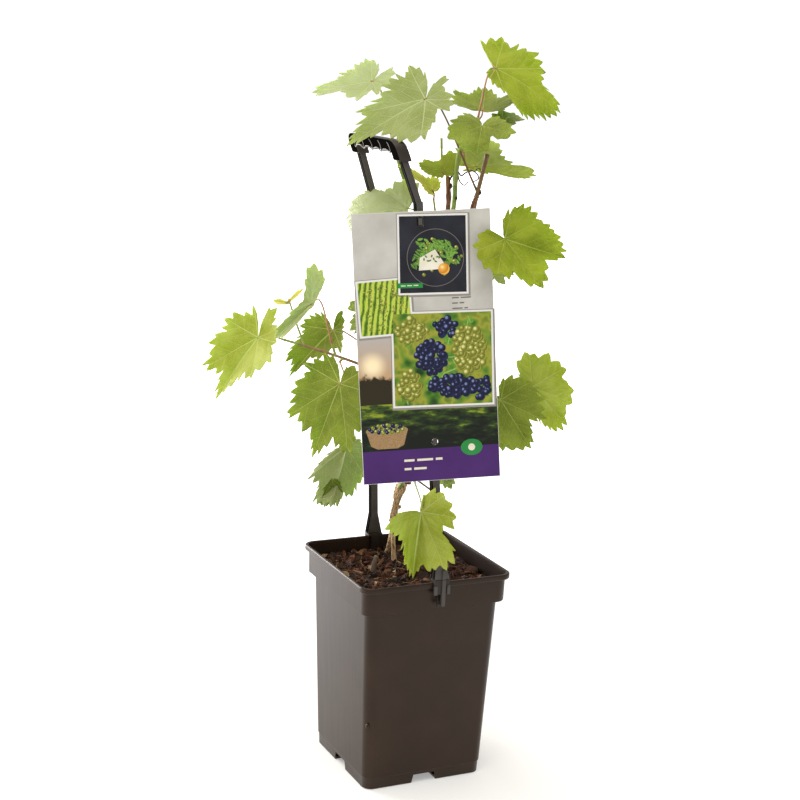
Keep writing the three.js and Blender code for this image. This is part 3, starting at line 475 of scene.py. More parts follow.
def leaf_material(name, flat, rich, vein, gloss, relief, wax=0.5):
    """Living leaf: a thin waxy skin over soft green tissue, so it is half matt, lets light through, and
    shows paler veins that part the blade into little cushions."""
    material, tree = new_material(name)
    uv = add(tree, "UVMap", uv_map="Veins")
    along = add(tree, "SeparateXYZ", [uv], "X")
    across = add(tree, "SeparateXYZ", [uv], "Y")
    away = add(tree, "Math", [across], operation="ABSOLUTE")
    side = add(tree, "Math", (across, 0.0), operation="LESS_THAN")
    rake = add(tree, "Math", (away, -SIDE_VEIN_RAKE, along), operation="MULTIPLY_ADD")
    turn = add(tree, "Math", (rake, 1 / SIDE_VEIN_PITCH), operation="MULTIPLY")
    turn = add(tree, "Math", (side, 0.5, turn), operation="MULTIPLY_ADD")
    near = add(tree, "Math", (turn, 0.5), operation="PINGPONG")
    main_width = add(tree, "MapRange", (along, 0, 1, 0.0095, 0.0024))
    main = add(tree, "MapRange", (away, 0.0, main_width, 1.0, 0.0), interpolation_type="SMOOTHSTEP")
    small = add(tree, "MapRange", (near, 0.007, 0.026, 0.6, 0.0), interpolation_type="SMOOTHSTEP")
    fade = add(tree, "MapRange", (away, 0.1, 0.3, 1.0, 0.2))
    small = add(tree, "Math", (small, fade), operation="MULTIPLY")
    veins = add(tree, "Math", (main, small), operation="MAXIMUM")
    place = add(tree, "TexCoord", out="Object")
    # the net of smallest veins stands 1 to 2 mm apart
    net = add(tree, "TexVoronoi", {"Vector": place, "Scale": 620.0, "Randomness": 1.0},
        feature="DISTANCE_TO_EDGE")
    net = add(tree, "MapRange", (net, 0.0, 0.12, 0.3, 0.0))
    # slow drifts of green across a blade, a few centimetres wide
    drift = add(tree, "TexNoise", {"Vector": place, "Scale": 45.0, "Detail": 3.0, "Roughness": 0.55})
    drift = add(tree, "MapRange", (drift, 0.36, 0.64))
    tissue = add(tree, "Mix", {"Factor": drift, "A": flat, "B": rich}, data_type="RGBA")
    netted = add(tree, "Mix", {"Factor": net, "A": tissue, "B": vein}, data_type="RGBA")
    colour = add(tree, "Mix", {"Factor": veins, "A": netted, "B": vein}, data_type="RGBA")
    cushion = add(tree, "MapRange", (near, 0.0, 0.3, 0.0, 1.0), interpolation_type="SMOOTHSTEP")
    height = add(tree, "Math", (cushion, 0.35, veins), operation="MULTIPLY_ADD")
    fine = add(tree, "Math", (net, -1.2, height), operation="MULTIPLY_ADD")
    bump = add(tree, "Bump", {"Height": fine, "Strength": relief, "Distance": 0.0006})
    shader = add(tree, "BsdfPrincipled", {
        "Base Color": colour, "Roughness": gloss, "IOR": 1.42, "Specular IOR Level": wax, "Normal": bump,
        "Subsurface Weight": 0.45, "Subsurface Scale": 0.0015, "Subsurface Radius": (0.7, 1.0, 0.15)})
    add(tree, "OutputMaterial", {"Surface": shader})
    return material


def plain_grained(name, dark, light, roughness, scale, stretch=(1, 1, 1), bump=0.3, depth=0.0004):
    """Surface whose colour and relief follow one grain, stretched along the way it grows."""
    material, tree = new_material(name)
    place = add(tree, "TexCoord", out="Object")
    turned = add(tree, "Mapping", {"Vector": place, "Scale": stretch})
    grain = add(tree, "TexNoise", {"Vector": turned, "Scale": scale, "Detail": 6.0, "Roughness": 0.6})
    spread = add(tree, "MapRange", (grain, 0.32, 0.68))
    colour = add(tree, "Mix", {"Factor": spread, "A": dark, "B": light}, data_type="RGBA")
    relief = add(tree, "Bump", {"Height": grain, "Strength": bump, "Distance": depth})
    shader = add(tree, "BsdfPrincipled", {"Base Color": colour, "Roughness": roughness, "IOR": 1.45,
        "Normal": relief})
    add(tree, "OutputMaterial", {"Surface": shader})
    return material


def bark_material(name, groove, ridge, tint, roughness):
    """Bark that peels in strips: dark in its grooves, pale on its ridges, with a stripy drift of tint."""
    material, tree = new_material(name)
    relief = add(tree, "Attribute", out="Fac", attribute_name="relief")
    place = add(tree, "TexCoord", out="Object")
    turned = add(tree, "Mapping", {"Vector": place, "Scale": (1.0, 1.0, 0.12)})
    # fibres about half a millimetre wide
    fibre = add(tree, "TexNoise", {"Vector": turned, "Scale": 900.0, "Detail": 5.0, "Roughness": 0.65})
    drift = add(tree, "TexNoise", {"Vector": turned, "Scale": 160.0, "Detail": 3.0})
    raised = add(tree, "Math", (relief, 0.55), operation="MULTIPLY")
    mixed = add(tree, "Math", (fibre, 0.5, raised), operation="MULTIPLY_ADD")
    colour = add(tree, "ValToRGB", [mixed], stops=((0.36, groove), (0.47, tint), (0.6, ridge)))
    mapped = add(tree, "MapRange", (drift, 0.35, 0.7))
    tinted = add(tree, "Mix", {"Factor": mapped, "A": colour, "B": tint}, data_type="RGBA")
    tinted = add(tree, "Mix", {"Factor": 0.6, "A": tinted, "B": colour}, data_type="RGBA")
    bump = add(tree, "Bump", {"Height": fibre, "Strength": 0.6, "Distance": 0.0004})
    shader = add(tree, "BsdfPrincipled", {"Base Color": tinted, "Roughness": roughness, "IOR": 1.45,
        "Normal": bump})
    add(tree, "OutputMaterial", {"Surface": shader})
    return material


def moulded_plastic(name, colour, wear_and_painted_highlight, roughness, grain, gloss):
    """Injection-moulded polypropylene: satin, slightly cloudy, with faint flow lines and handling marks."""
    material, tree = new_material(name)
    place = add(tree, "TexCoord", out="Object")
    cloud = add(tree, "TexNoise", {"Vector": place, "Scale": 30.0, "Detail": 4.0})
    cloudy = add(tree, "MapRange", (cloud, 0.4, 0.75))
    tone = add(tree, "Mix", {"Factor": cloudy, "A": colour, "B": wear_and_painted_highlight}, data_type="RGBA")
    flow = add(tree, "Mapping", {"Vector": place, "Scale": (1.0, 1.0, 0.05)})
    lines = add(tree, "TexNoise", {"Vector": flow, "Scale": 260.0, "Detail": 2.0})
    rough = add(tree, "MapRange", (lines, 0.3, 0.7, roughness - 0.015, roughness + 0.02))
    # the mould's grain, drawn about 0.7 mm wide so that it shows
    skin = add(tree, "TexNoise", {"Vector": place, "Scale": 1400.0, "Detail": 2.0})
    bump = add(tree, "Bump", {"Height": skin, "Strength": grain, "Distance": 0.0002})
    shader = add(tree, "BsdfPrincipled", {
        "Base Color": tone, "Roughness": rough, "IOR": 1.49, "Specular IOR Level": gloss,
        "Specular Tint": "#ffe6d2", "Normal": bump})
    add(tree, "OutputMaterial", {"Surface": shader})
    return material


# ------------------------------------------------------------------ settings
class VINE_PG_foliage(bpy.types.PropertyGroup):
    thickness: FloatProperty(
        name="Blade thickness", description="Thickness of a leaf", default=0.00045, unit="LENGTH")
    tooth: FloatProperty(
        name="Tooth depth", description="Depth of a tooth of the margin, as a share of the leaf's length",
        default=0.082, min=0.0, max=0.2)
    wave: FloatProperty(
        name="Margin wave",
        description="Height of the waves along the margin, as a share of the leaf's length",
        default=0.035, min=0.0, max=0.1)


class VINE_PG_pot(bpy.types.PropertyGroup):
    wall: FloatProperty(name="Wall", description="Thickness of the pot's wall", default=0.0016, unit="LENGTH")
    edge: FloatProperty(name="Edge", description="Rounding of the moulded edges", default=0.0006,
        unit="LENGTH")


class VINE_PG_compost(bpy.types.PropertyGroup):
    chips: IntProperty(name="Chips", description="How many bark chips lie on top", default=2800, min=0)
    chip: FloatProperty(name="Chip", description="Length of a common chip", default=0.009, unit="LENGTH")


class VINE_PG_stage(bpy.types.PropertyGroup):
    floor: FloatProperty(name="Floor", description="Radius of the studio floor", default=9.0, unit="LENGTH")
    lens: FloatProperty(name="Lens", description="Focal length of the camera", default=73.8, unit="CAMERA")


# ------------------------------------------------------------------ leaves
def blade_axes(bearing, lift, turn):
    """The way a blade's upper face looks, its midrib and its side."""
    b, l, t = (math.radians(a) for a in (bearing, lift, turn))
    face = Vector((math.cos(b) * math.cos(l), math.sin(b) * math.cos(l), math.sin(l)))
    downhill = (Vector((0, 0, -1)) + face * face.z).normalized()
    rib = downhill * math.cos(t) + face.cross(downhill) * math.sin(t)
    return face, rib, face.cross(rib)


def half_margin(length, tooth, chance, lobes):
    """Angles, bare reaches and toothed reaches down one half of a blade's margin."""
    fine = np.linspace(0, lobes[-1][0], 400)
    reach = smooth_table(fine, lobes)
    x, y = reach * np.cos(np.radians(fine)), reach * np.sin(np.radians(fine))
    run = np.concatenate([[0], np.cumsum(np.hypot(np.diff(x), np.diff(y)))])
    teeth = max(7, round(4 + 0.18 * length))
    angles, bare, cut_back = [0.0], [1.0], [1.0 + tooth * 0.6]
    edges = [0.0] + [(k + 0.5 + chance.uniform(-0.16, 0.16)) / teeth for k in range(teeth)]
    for k in range(teeth):
        start, end = edges[k] * run[-1], edges[k + 1] * run[-1]
        if k:
            deep = tooth * (1.25 if k % 2 else 0.75) * chance.uniform(0.6, 1.5)
            tip = start + (end - start) * chance.uniform(0.36, 0.5)
            stops = ((start, -0.42), (start + 0.5 * (tip - start), 0.22), (tip, 0.62),
                (tip + 0.5 * (end - tip), 0.12))
        else:
            deep = tooth
            stops = ((0.35 * end, 0.15), (0.7 * end, -0.1))
        for place, share in stops:
            angle = np.interp(place, run, fine)
            value = float(smooth_table(np.array([angle]), lobes)[0])
            angles.append(float(angle))
            bare.append(value)
            cut_back.append(value + deep * share * min(1.0, value / 0.45))
    for angle in (lobes[-1][0] - 7.0, lobes[-1][0] - 1.0):
        if angle > angles[-1] + 2:
            value = float(smooth_table(np.array([angle]), lobes)[0])
            angles.append(angle)
            bare.append(value)
            cut_back.append(value)
    return np.array(angles), np.array(bare), np.array(cut_back)


def main_veins(lobes):
    """Angles of the main veins down one half of a blade, each towards the tip of a lobe."""
    peaks = [row for before, row, after in zip(lobes, lobes[1:], lobes[2:])
        if row[1] > max(before[1], after[1])]
    veins = [0]
    for usual in RIBS[1:]:
        near = [row for row in peaks if abs(row[0] - usual) < 23 and row[0] > veins[-1] + 20]
        veins.append(max(near, key=lambda row: row[1])[0] if near else max(usual, veins[-1] + 20))
    return veins


def blade_part(fields, settings, seed, slots, tile, outline, own):
    """Closed, toothed, softly quilted blade with its vein and bake layouts."""
    base, length, bearing, lift, turn, fold, droop, width = fields[:8]
    chance = random.Random(seed)
    left = half_margin(length, settings.tooth, chance, outline[0])
    right = half_margin(length, settings.tooth, chance, outline[1])
    angles = np.concatenate([-left[0][:0:-1], right[0]])
    bare = np.concatenate([left[1][:0:-1], right[1]])
    toothed = np.concatenate([left[2][:0:-1], right[2]])
    sway = [chance.uniform(0, 2 * math.pi) for _ in range(5)]
    if not own:
        lean = 1 + 0.05 * np.sin(np.radians(angles) * 2 + sway[0]) + 0.03 * np.sin(np.radians(angles) * 5
            + sway[1])
        bare, toothed = bare * lean, toothed * lean
    theta = np.radians(angles)
    shares = np.array(BLADE_SHARES)[:, None]
    reach = shares * (bare + (toothed - bare) * shares**5)
    along = np.concatenate([[0.0], (reach * np.cos(theta) * length).ravel()])
    across = np.concatenate([[0.0], (reach * np.sin(theta) * length * width).ravel()])
    share = np.concatenate([[0.0], np.broadcast_to(shares, reach.shape).ravel()])
    bearing_of = np.concatenate([[0.0], np.broadcast_to(theta, reach.shape).ravel()])
    # place of each point beside its nearest main vein
    rib_angles = np.radians(sorted({-a for a in main_veins(outline[0])} | set(main_veins(outline[1]))))
    ways = np.stack([np.cos(rib_angles), np.sin(rib_angles) * width], 1)
    ways /= np.linalg.norm(ways, axis=1)[:, None]
    flat = np.stack([along, across], 1)

    def beside(points, which):
        s = (points * ways[which]).sum(-1)
        t = points[..., 1] * ways[which, 0] - points[..., 0] * ways[which, 1]
        return s / length, t / length

    nearest = np.abs(bearing_of[:, None] - rib_angles[None]).argmin(1)
    s, t = beside(flat, nearest)
    turns = (s - SIDE_VEIN_RAKE * np.abs(t)) / SIDE_VEIN_PITCH + np.where(t < 0, 0.5, 0)
    cushions = np.sin(math.pi * turns) ** 2 * np.clip(np.abs(t) / 0.05, 0, 1) * (1 - share**6)
    furrow = np.exp(-((t / 0.02) ** 2)) * (1 - 0.7 * share)
    pleat = np.exp(-((t / 0.12) ** 2)) * share * (1 - share**4)
    wave = (
        np.sin(3 * bearing_of + sway[2]) * 0.9 + np.sin(7 * bearing_of + sway[3]) * 0.5
        + np.sin(13 * bearing_of + sway[4]) * 0.22) * share**3 * settings.wave * length
    if own:
        wave *= 0.45
    relief = 0.5 * cushions - 0.6 * furrow - 0.045 * length * pleat + wave
    half = settings.thickness / MM / 2 * (1 - 0.45 * share**4)
    face, rib, side = blade_axes(bearing, lift, turn)
    curl = math.radians(droop) or 1e-4
    radius = length / curl
    layers = []
    for offset in (relief + half, relief - half):
        tilt = math.radians(fold) * np.sign(across)
        v = across * np.cos(tilt) - offset * np.sin(tilt)
        w = np.abs(across) * math.sin(math.radians(fold)) + offset * np.cos(tilt)
        bend = curl * along / length
        u = np.sin(bend) * (radius + w)
        rise = (radius + w) * np.cos(bend) - radius
        layers.append(np.array(base) + u[:, None] * np.array(rib) + v[:, None] * np.array(side)
                      + rise[:, None] * np.array(face))
    points = np.vstack(layers) * MM
    columns, rings, layer = len(angles), len(BLADE_SHARES), len(along)
    upper = []
    for i in range(columns - 1):
        upper.append((0, 1 + i, 2 + i))
        for r in range(rings - 1):
            a = 1 + r * columns + i
            upper.append((a, a + columns, a + columns + 1, a + 1))
    under = [tuple(layer + v for v in reversed(face_)) for face_ in upper]
    last = 1 + (rings - 1) * columns
    edge = [0] + [1 + r * columns for r in range(rings)] + [last + i for i in range(1, columns)]
    edge += [columns + r * columns for r in range(rings - 2, -1, -1)]
    rim = [(a, layer + a, layer + b, b) for a, b in zip(edge, edge[1:] + edge[:1])]
    faces = upper + under + rim
    # corner layouts
    corners = np.array([v % layer for face_ in faces for v in face_])
    owner = np.repeat(np.arange(len(faces)), [len(face_) for face_ in faces])
    middle = np.zeros(len(faces))
    mids = (angles[1:] + angles[:-1]) / 2
    per_column = np.radians(np.repeat(mids, rings))
    middle[: len(upper)] = per_column
    middle[len(upper) : 2 * len(upper)] = per_column
    middle[2 * len(upper) :] = [bearing_of[a % layer] for a, *_ in rim]
    which = np.abs(middle[:, None] - rib_angles[None]).argmin(1)[owner]
    vs, vt = beside(flat[corners], which)
    bake = np.empty((len(corners), 2))
    spot = flat[corners] / length * 0.5
    below = (owner >= len(upper)) & (owner < 2 * len(upper))
    for index, mask in ((0, ~below), (1, below)):
        column, row, cells = *divmod(tile[0] + index, tile[1]), tile[1]
        bake[mask, 0] = (column + 0.5 + (spot[mask, 1] * 0.78)) / cells
        bake[mask, 1] = (row + 0.36 + (spot[mask, 0] * 0.92)) / cells
    part_slots = [slots[0]] * len(upper) + [slots[1]] * len(under) + [slots[0]] * len(rim)
    return {"points": points, "faces": faces, "slots": part_slots,
            "uv": {"Veins": np.stack([vs, vt], 1), "OFBake": bake}}


def stalk_line(start, fields):
    """Curve of a stalk from its stem to the base of a blade, which it reaches from below."""
    base = Vector(fields[0])
    face, rib, _ = blade_axes(*fields[2:5])
    end = base + rib * 1.5
    span = (Vector(start) - end).length
    bow = 0.22 if span < 45 else 0.08
    before = base - rib * bow * span - face * bow * 0.5 * span
    return smooth_line((start, before, end), 14)


# Each green of leaf: colour of its flat tissue, of its rich tissue and of its veins, roughness, relief
# and wax, first above and then below
GREENS = {
    "pale": (
        ("#8c9352", "#7c8433", "#b8bd8a", 0.48, 0.55),
        ("#8b9256", "#7e8648", "#b6bb86", 0.62, 0.8)),
    "fresh": (
        ("#949b20", "#788204", "#b7bb66", 0.46, 0.6, 0.18),
        ("#91984c", "#848c41", "#b2b776", 0.62, 0.8)),
    "deep": (
        ("#808826", "#65700c", "#b0b568", 0.46, 0.6, 0.24),
        ("#868e47", "#798339", "#a8ad6a", 0.62, 0.8)),
    "young": (
        ("#a3a842", "#8c9312", "#c2c67c", 0.48, 0.5, 0.28),
        ("#a5a85c", "#9a9e50", "#bfc286", 0.62, 0.7)),
    "bud": (
        ("#d2c96a", "#c0bb4c", "#dedb9c", 0.5, 0.3, 0.35),
        ("#d2cb74", "#c4bf58", "#dedca2", 0.62, 0.5)),
    "shaded": (
        ("#5f6c14", "#4f5c04", "#8a9648", 0.5, 0.6, 0.25),
        ("#6d7833", "#5e6a24", "#8f9a58", 0.62, 0.7)),
    "hazy": (
        ("#aaaf80", "#9da36c", "#bcc08f", 0.5, 0.4),
        ("#a3a874", "#999f6a", "#bec293", 0.62, 0.6)),
}


class VINE_OT_leaves(bpy.types.Operator):
    """Grow the leaves of every mass of foliage"""

    bl_idname = "vine.leaves"
    bl_label = "Leaves"

    def execute(self, context):
        settings = context.scene.vine_foliage
        skins = {
            kind: [leaf_material(f"leaf_{kind}_{side}", *look) for side,
            look in zip(("upper", "under"), both)]
            for kind, both in GREENS.items()}
        for name, (_, _, blades) in FOLIAGE.items():
            kinds = sorted({fields[9] for fields in blades})
            cells = math.ceil(math.sqrt(2 * len(blades)))
            parts = []
            for index, fields in enumerate(blades):
                slots = (2 * kinds.index(fields[9]), 2 * kinds.index(fields[9]) + 1)
                outline = [((0, 1.0), *half) for half in MARGINS.get((name, index), (LOBES[1:], LOBES[1:]))]
                own = (name, index) in MARGINS
                parts.append(blade_part(fields, settings, f"{name}{index}", slots, (2 * index, cells),
                    outline, own))
            materials = [skin for kind in kinds for skin in skins[kind]]
            piece = make_piece(name.replace("leaves", "blades"), parts, materials)
            settle(piece, "leaf", name)
        return {"FINISHED"}


# Each dried tendril or twig: its places, its end radii, and 1 if it is dry or 0 if brown
TENDRILS = (
    (((24.5, -4, 552), (27, -7, 559), (30, -9, 562), (33, -11, 558), (36, -14, 561), (40, -19, 563),
    (43, -25, 559),
    (40, -29, 556), (36, -27, 554)), (0.9, 0.5), 1),
    (((39, -32, 541), (41, -29, 550), (44, -28, 557), (46, -26, 562), (43, -24, 566), (40, -25, 563)),
    (0.8, 0.4), 1),
    (((30, -10, 560), (31, -13, 553), (34, -16, 550), (37, -17, 553), (36, -18, 557)), (0.7, 0.4), 1),
    (((-12, -22, 286), (-7, -32, 284), (-2, -42, 280)), (1.2, 0.8), 0),
    (((-2, -42, 280), (2, -46, 277), (4, -50, 278)), (0.9, 0.5), 0))
# Each bud at a joint: its place and its size
BUDS = (
    (23.4, -4.6, 561, 2.2), (22.2, -4.2, 566, 1.8), (21.4, -2.9, 570, 1.6), (25.6, -5.6, 548, 2.0),
    (19.4, 1.4, 571, 1.6), (36.6, -30.4, 536, 1.9), (40.6, -33.6, 545, 1.8), (43.2, -34.2, 566, 1.5),
    (27, -15, 538, 1.4), (28.6, -10.8, 552, 1.4))


class VINE_OT_stalks(bpy.types.Operator):
    """Grow the stems and leaf stalks that carry the blades"""

    bl_idname = "vine.stalks"
    bl_label = "Stalks"

    def execute(self, context):
        green = plain_grained("shoot_green_skin", "#7d8f38", "#9aa84f", 0.5, 300, (1, 1, 0.3), 0.25, 0.0002)
        red = plain_grained("stalk_reddish_skin", "#94603f", "#b98a58", 0.5, 260, (1, 1, 0.3), 0.25, 0.0002)
        parts = []
        for name, (stem, radii, blades) in FOLIAGE.items():
            line = smooth_line(stem, 16)
            parts.append(self.shoot(line, radii, name, 3 if name == "leaves_top_left" else 0))
            for index, fields in enumerate(blades):
                if fields[8] < 0:
                    continue
                along = min(fields[8], 0.98) * (len(line) - 1)
                low = int(along)
                start = line[low] + (line[min(low + 1, len(line) - 1)] - line[low]) * (along - low)
                slot = {"leaves_low_front": 2, "leaves_top_left": 3}.get(name,
                    1 if (index + len(name)) % 3 else 0)
                parts.append(self.shoot(stalk_line(start / MM, fields), (0.95, 0.65), f"{name}{index}", slot))
        pale = plain_grained("stalk_pale_skin", "#a7b078", "#c3c99a", 0.5, 260, (1, 1, 0.3), 0.25, 0.0002)
        brown = plain_grained("stalk_brown_skin", "#5d4227", "#8a6a3e", 0.55, 260, (1, 1, 0.3), 0.3, 0.0002)
        settle(make_piece("stalks", parts, [green, red, pale, brown]), "shoot")
        self.twigs(brown)
        return {"FINISHED"}

    def twigs(self, brown):
        """Dried tendrils, buds at the joints and the small red side twig over the low leaf."""
        dry = plain_grained("dried_tendril", "#2c1a12", "#5a3826", 0.7, 500, (1, 1, 1), 0.4, 0.0003)
        parts = []
        for places, radii, slot in TENDRILS:
            line = smooth_line(places, 6 * len(places))
            parts.append(tube(line, np.linspace(*radii, len(line)) * MM, 6, slot=slot))
        for x, y, z, size in BUDS:
            line = smooth_line(((x - size * 0.3, y - size * 0.3, z - size), (x, y, z),
                (x + 0.5, y - 0.5, z + size * 1.4)), 6)
            parts.append(tube(line, np.array((0.5, 0.85, 1, 0.9, 0.6, 0.2)) * size * MM, 8, slot=1))
        settle(make_piece("dried_twigs", parts, [brown, dry]), "cane")

    def shoot(self, line, radii, seed, slot):
        """Thin tube, a little swollen where it springs and where it ends."""
        share = np.linspace(0, 1, len(line))
        swell = 1 + 0.35 * np.exp(-((share / 0.06) ** 2)) + 0.2 * np.exp(-(((1 - share) / 0.05) ** 2))
        widths = (radii[0] + (radii[1] - radii[0]) * share) * swell * MM
        return tube(line, widths, 8, slot=slot)


# ------------------------------------------------------------------ wood
class VINE_OT_wood(bpy.types.Operator):
    """Build the trunk, canes and shoots with the relief of their bark"""

    bl_idname = "vine.wood"
    bl_label = "Trunk and canes"

    def execute(self, context):
        self.build_trunk()
        self.build_stub()
        skins = {
            "cane": bark_material("ripened_cane_bark", "#3f2318", "#9a7148", "#74492f", 0.7),
            "shoot": bark_material("green_cane_skin", "#54702a", "#8da34c", "#6f8d35", 0.5),
            "red": bark_material("sunny_side_cane_skin", "#6b4a33", "#a08a58", "#8a6244", 0.55),
        }
        for name, (path, radii, kind) in LIMBS.items():
            part = self.limb(name, path, radii, kind)
            piece = make_piece("bark_" + name, [part], [skins[kind]])
            settle(piece, "cane" if kind == "cane" else "shoot", name)
        return {"FINISHED"}

    def limb(self, name, path, radii, kind):
        """Limb with swollen joints and lengthwise grooves."""
        length = sum(math.dist(a, b) for a, b in zip(path, path[1:]))
        count = max(24, int(length / 1.6))
        line = smooth_line(path, count)
        share = np.linspace(0, 1, count)
        joints = np.arange(0.5, length / 42) * 42 / length
        swell = 1 + sum(0.28 * np.exp(-(((share - j) * length / 3.2) ** 2)) for j in joints)
        widths = (radii[0] + (radii[1] - radii[0]) * share) * swell * MM
        rough = {"cane": 0.16, "shoot": 0.05, "red": 0.06}[kind]
        shift = sum(map(ord, name)) * 1.7
        values = []

        def relief(i, angle):
            spot = Vector((math.cos(angle) * 2.6 + shift, math.sin(angle) * 2.6, share[i] * length * 0.05))
            value = noise.fractal(spot, 0.6, 2.1, 4)
            values.append(0.5 + 0.5 * value)
            return 1 + rough * value

        part = tube(line, widths, 20, relief)
        part["values"] = {"relief": np.array(values + [0.5, 0.5])}
        return part

    def build_trunk(self):
        """Trunk of twisted strands, melted together and then grooved, with strips that peel."""
        path = np.array(TRUNK["path"], float)
        split = path[1] * 0.45 + path[2] * 0.55
        stem = np.vstack([split + (0.3, 1.2, -6), path[2:]])
        count = 34
        middle = smooth_line(stem, count)
        share = np.linspace(0, 1, count)
        waist = (2.5 + 0.35 * np.sin(share * 9) + 1.6 * share**3) * MM
        parts = [tube(middle, waist, 14)]
        for k in range(5):
            angle = 2 * math.pi * k / 5 + 0.6 + share * 2.2
            ring = np.stack([np.cos(angle), np.sin(angle), np.zeros(count)], 1) * (waist * 0.66)[:, None]
            parts.append(tube(middle + ring, waist * (0.42 + 0.12 * (k % 2)), 8))
        for (x, y), lean, thick in zip(TRUNK["roots"], (-1.5, 1.5), (2.3, 1.9)):
            foot = np.array((x, y, SOIL - 4.0))
            elbow = (foot * 0.6 + split * 0.4) + (lean, lean, 0)
            elbow[2] = 198
            line = smooth_line((foot, elbow, split, split + (0, -0.8, 9)), 22)
            for push in (-0.7, 0.7):
                shifted = line + np.array((push * 0.5, push, 0)) * MM
                parts.append(tube(shifted, np.linspace(thick, 1.5, 22) * MM, 8))
        head = smooth_line(((5, 26.5, 255), (4.5, 24, 262), (5.5, 22.5, 267.5)), 8)
        parts.append(tube(head, np.array((2.8, 3.4, 4.0, 4.4, 4.5, 4.3, 3.8, 3)) * MM, 12))
        for x, y, z, r in ((1.5, 29.5, 246, 2.1), (6.5, 31, 240, 1.7), (0.2, 34, 228, 1.9)):
            bump = smooth_line(((x - 1, y - 1.2, z - 1), (x, y, z), (x + 0.6, y + 1, z + 1.2)), 5)
            parts.append(tube(bump, np.array((0.5, 0.9, 1, 0.9, 0.5)) * r * MM, 8))
        bark = bark_material("peeling_trunk_bark", "#48301c", "#d9bd92", "#b08a5e", 0.85)
        trunk = make_piece("bark_trunk", parts, [bark])
        finish(trunk, "REMESH", mode="VOXEL", voxel_size=0.0004)
        finish(trunk, "SMOOTH", iterations=3, factor=0.5)
        mesh = trunk.data
        values = []
        for vertex in mesh.vertices:
            spot = vertex.co / MM
            twist = Matrix.Rotation(spot.z * 0.05, 3, "Z") @ Vector((spot.x - 4, spot.y - 32, 0))
            value = noise.fractal(Vector((twist.x * 0.7, twist.y * 0.7, spot.z * 0.04)), 0.7, 2.0, 5)
            values.append(0.5 + 0.6 * value)
        normals = [v.normal.copy() for v in mesh.vertices]
        for vertex, normal, value in zip(mesh.vertices, normals, values):
            vertex.co += normal * (value - 0.5) * 0.0013
        mesh.attributes.new("relief", "FLOAT", "POINT").data.foreach_set("value", values)
        mesh.polygons.foreach_set("use_smooth", [True] * len(mesh.polygons))
        settle(trunk, "bark", "trunk")
        self.build_strips(middle, waist, bark)

    def build_strips(self, middle, waist, bark):
        """Narrow strips of old bark whose ends lift off the trunk."""
        chance = random.Random(3)
        parts = []
        for _ in range(26):
            start, run, turn = chance.uniform(0, 0.75), chance.uniform(0.14, 0.4), chance.uniform(0,
                2 * math.pi)
            share = np.linspace(start, min(1, start + run), 12)
            where = share * (len(middle) - 1)
            spine = np.stack([np.interp(where, range(len(middle)), middle[:, k]) for k in range(3)], 1)
            reach = np.interp(where, range(len(middle)), waist)
            angle = turn + share * 2.2
            ends = np.abs(np.linspace(-1, 1, 12)) ** 6
            lift = reach * 1.18 + ends * chance.uniform(0.4, 1.8) * MM
            way = np.stack([np.cos(angle), np.sin(angle), np.zeros(12)], 1)
            line = spine + way * lift[:, None]
            widths = np.full(12, chance.uniform(0.35, 0.8) * MM) * (1 - 0.7 * ends)
            part = tube(line, widths, 5)
            part["values"] = {"relief": np.full(len(part["points"]), chance.uniform(0.35, 0.75))}
            parts.append(part)
        settle(make_piece("bark_strips", parts, [bark]), "bark")

    def build_stub(self):
        line = smooth_line(STUB, 16)
        part = tube(line, np.linspace(2.3, 2.0, 16) * MM, 14, lambda i,
            a: 1 + 0.12 * math.sin(5 * a + i * 0.2))
        old = bark_material("weathered_stub_bark", "#3c2f26", "#8e7a66", "#6b5a4b", 0.9)
        part["values"] = {"relief": np.full(len(part["points"]), 0.5)}
        settle(make_piece("bark_stub", [part], [old]), "bark", "pruned_stub")


# ------------------------------------------------------------------ pot and compost
def body_half(z):
    return POT["foot"] + (POT["shoulder"] - POT["foot"]) * z / (POT["height"] - POT["collar_height"])


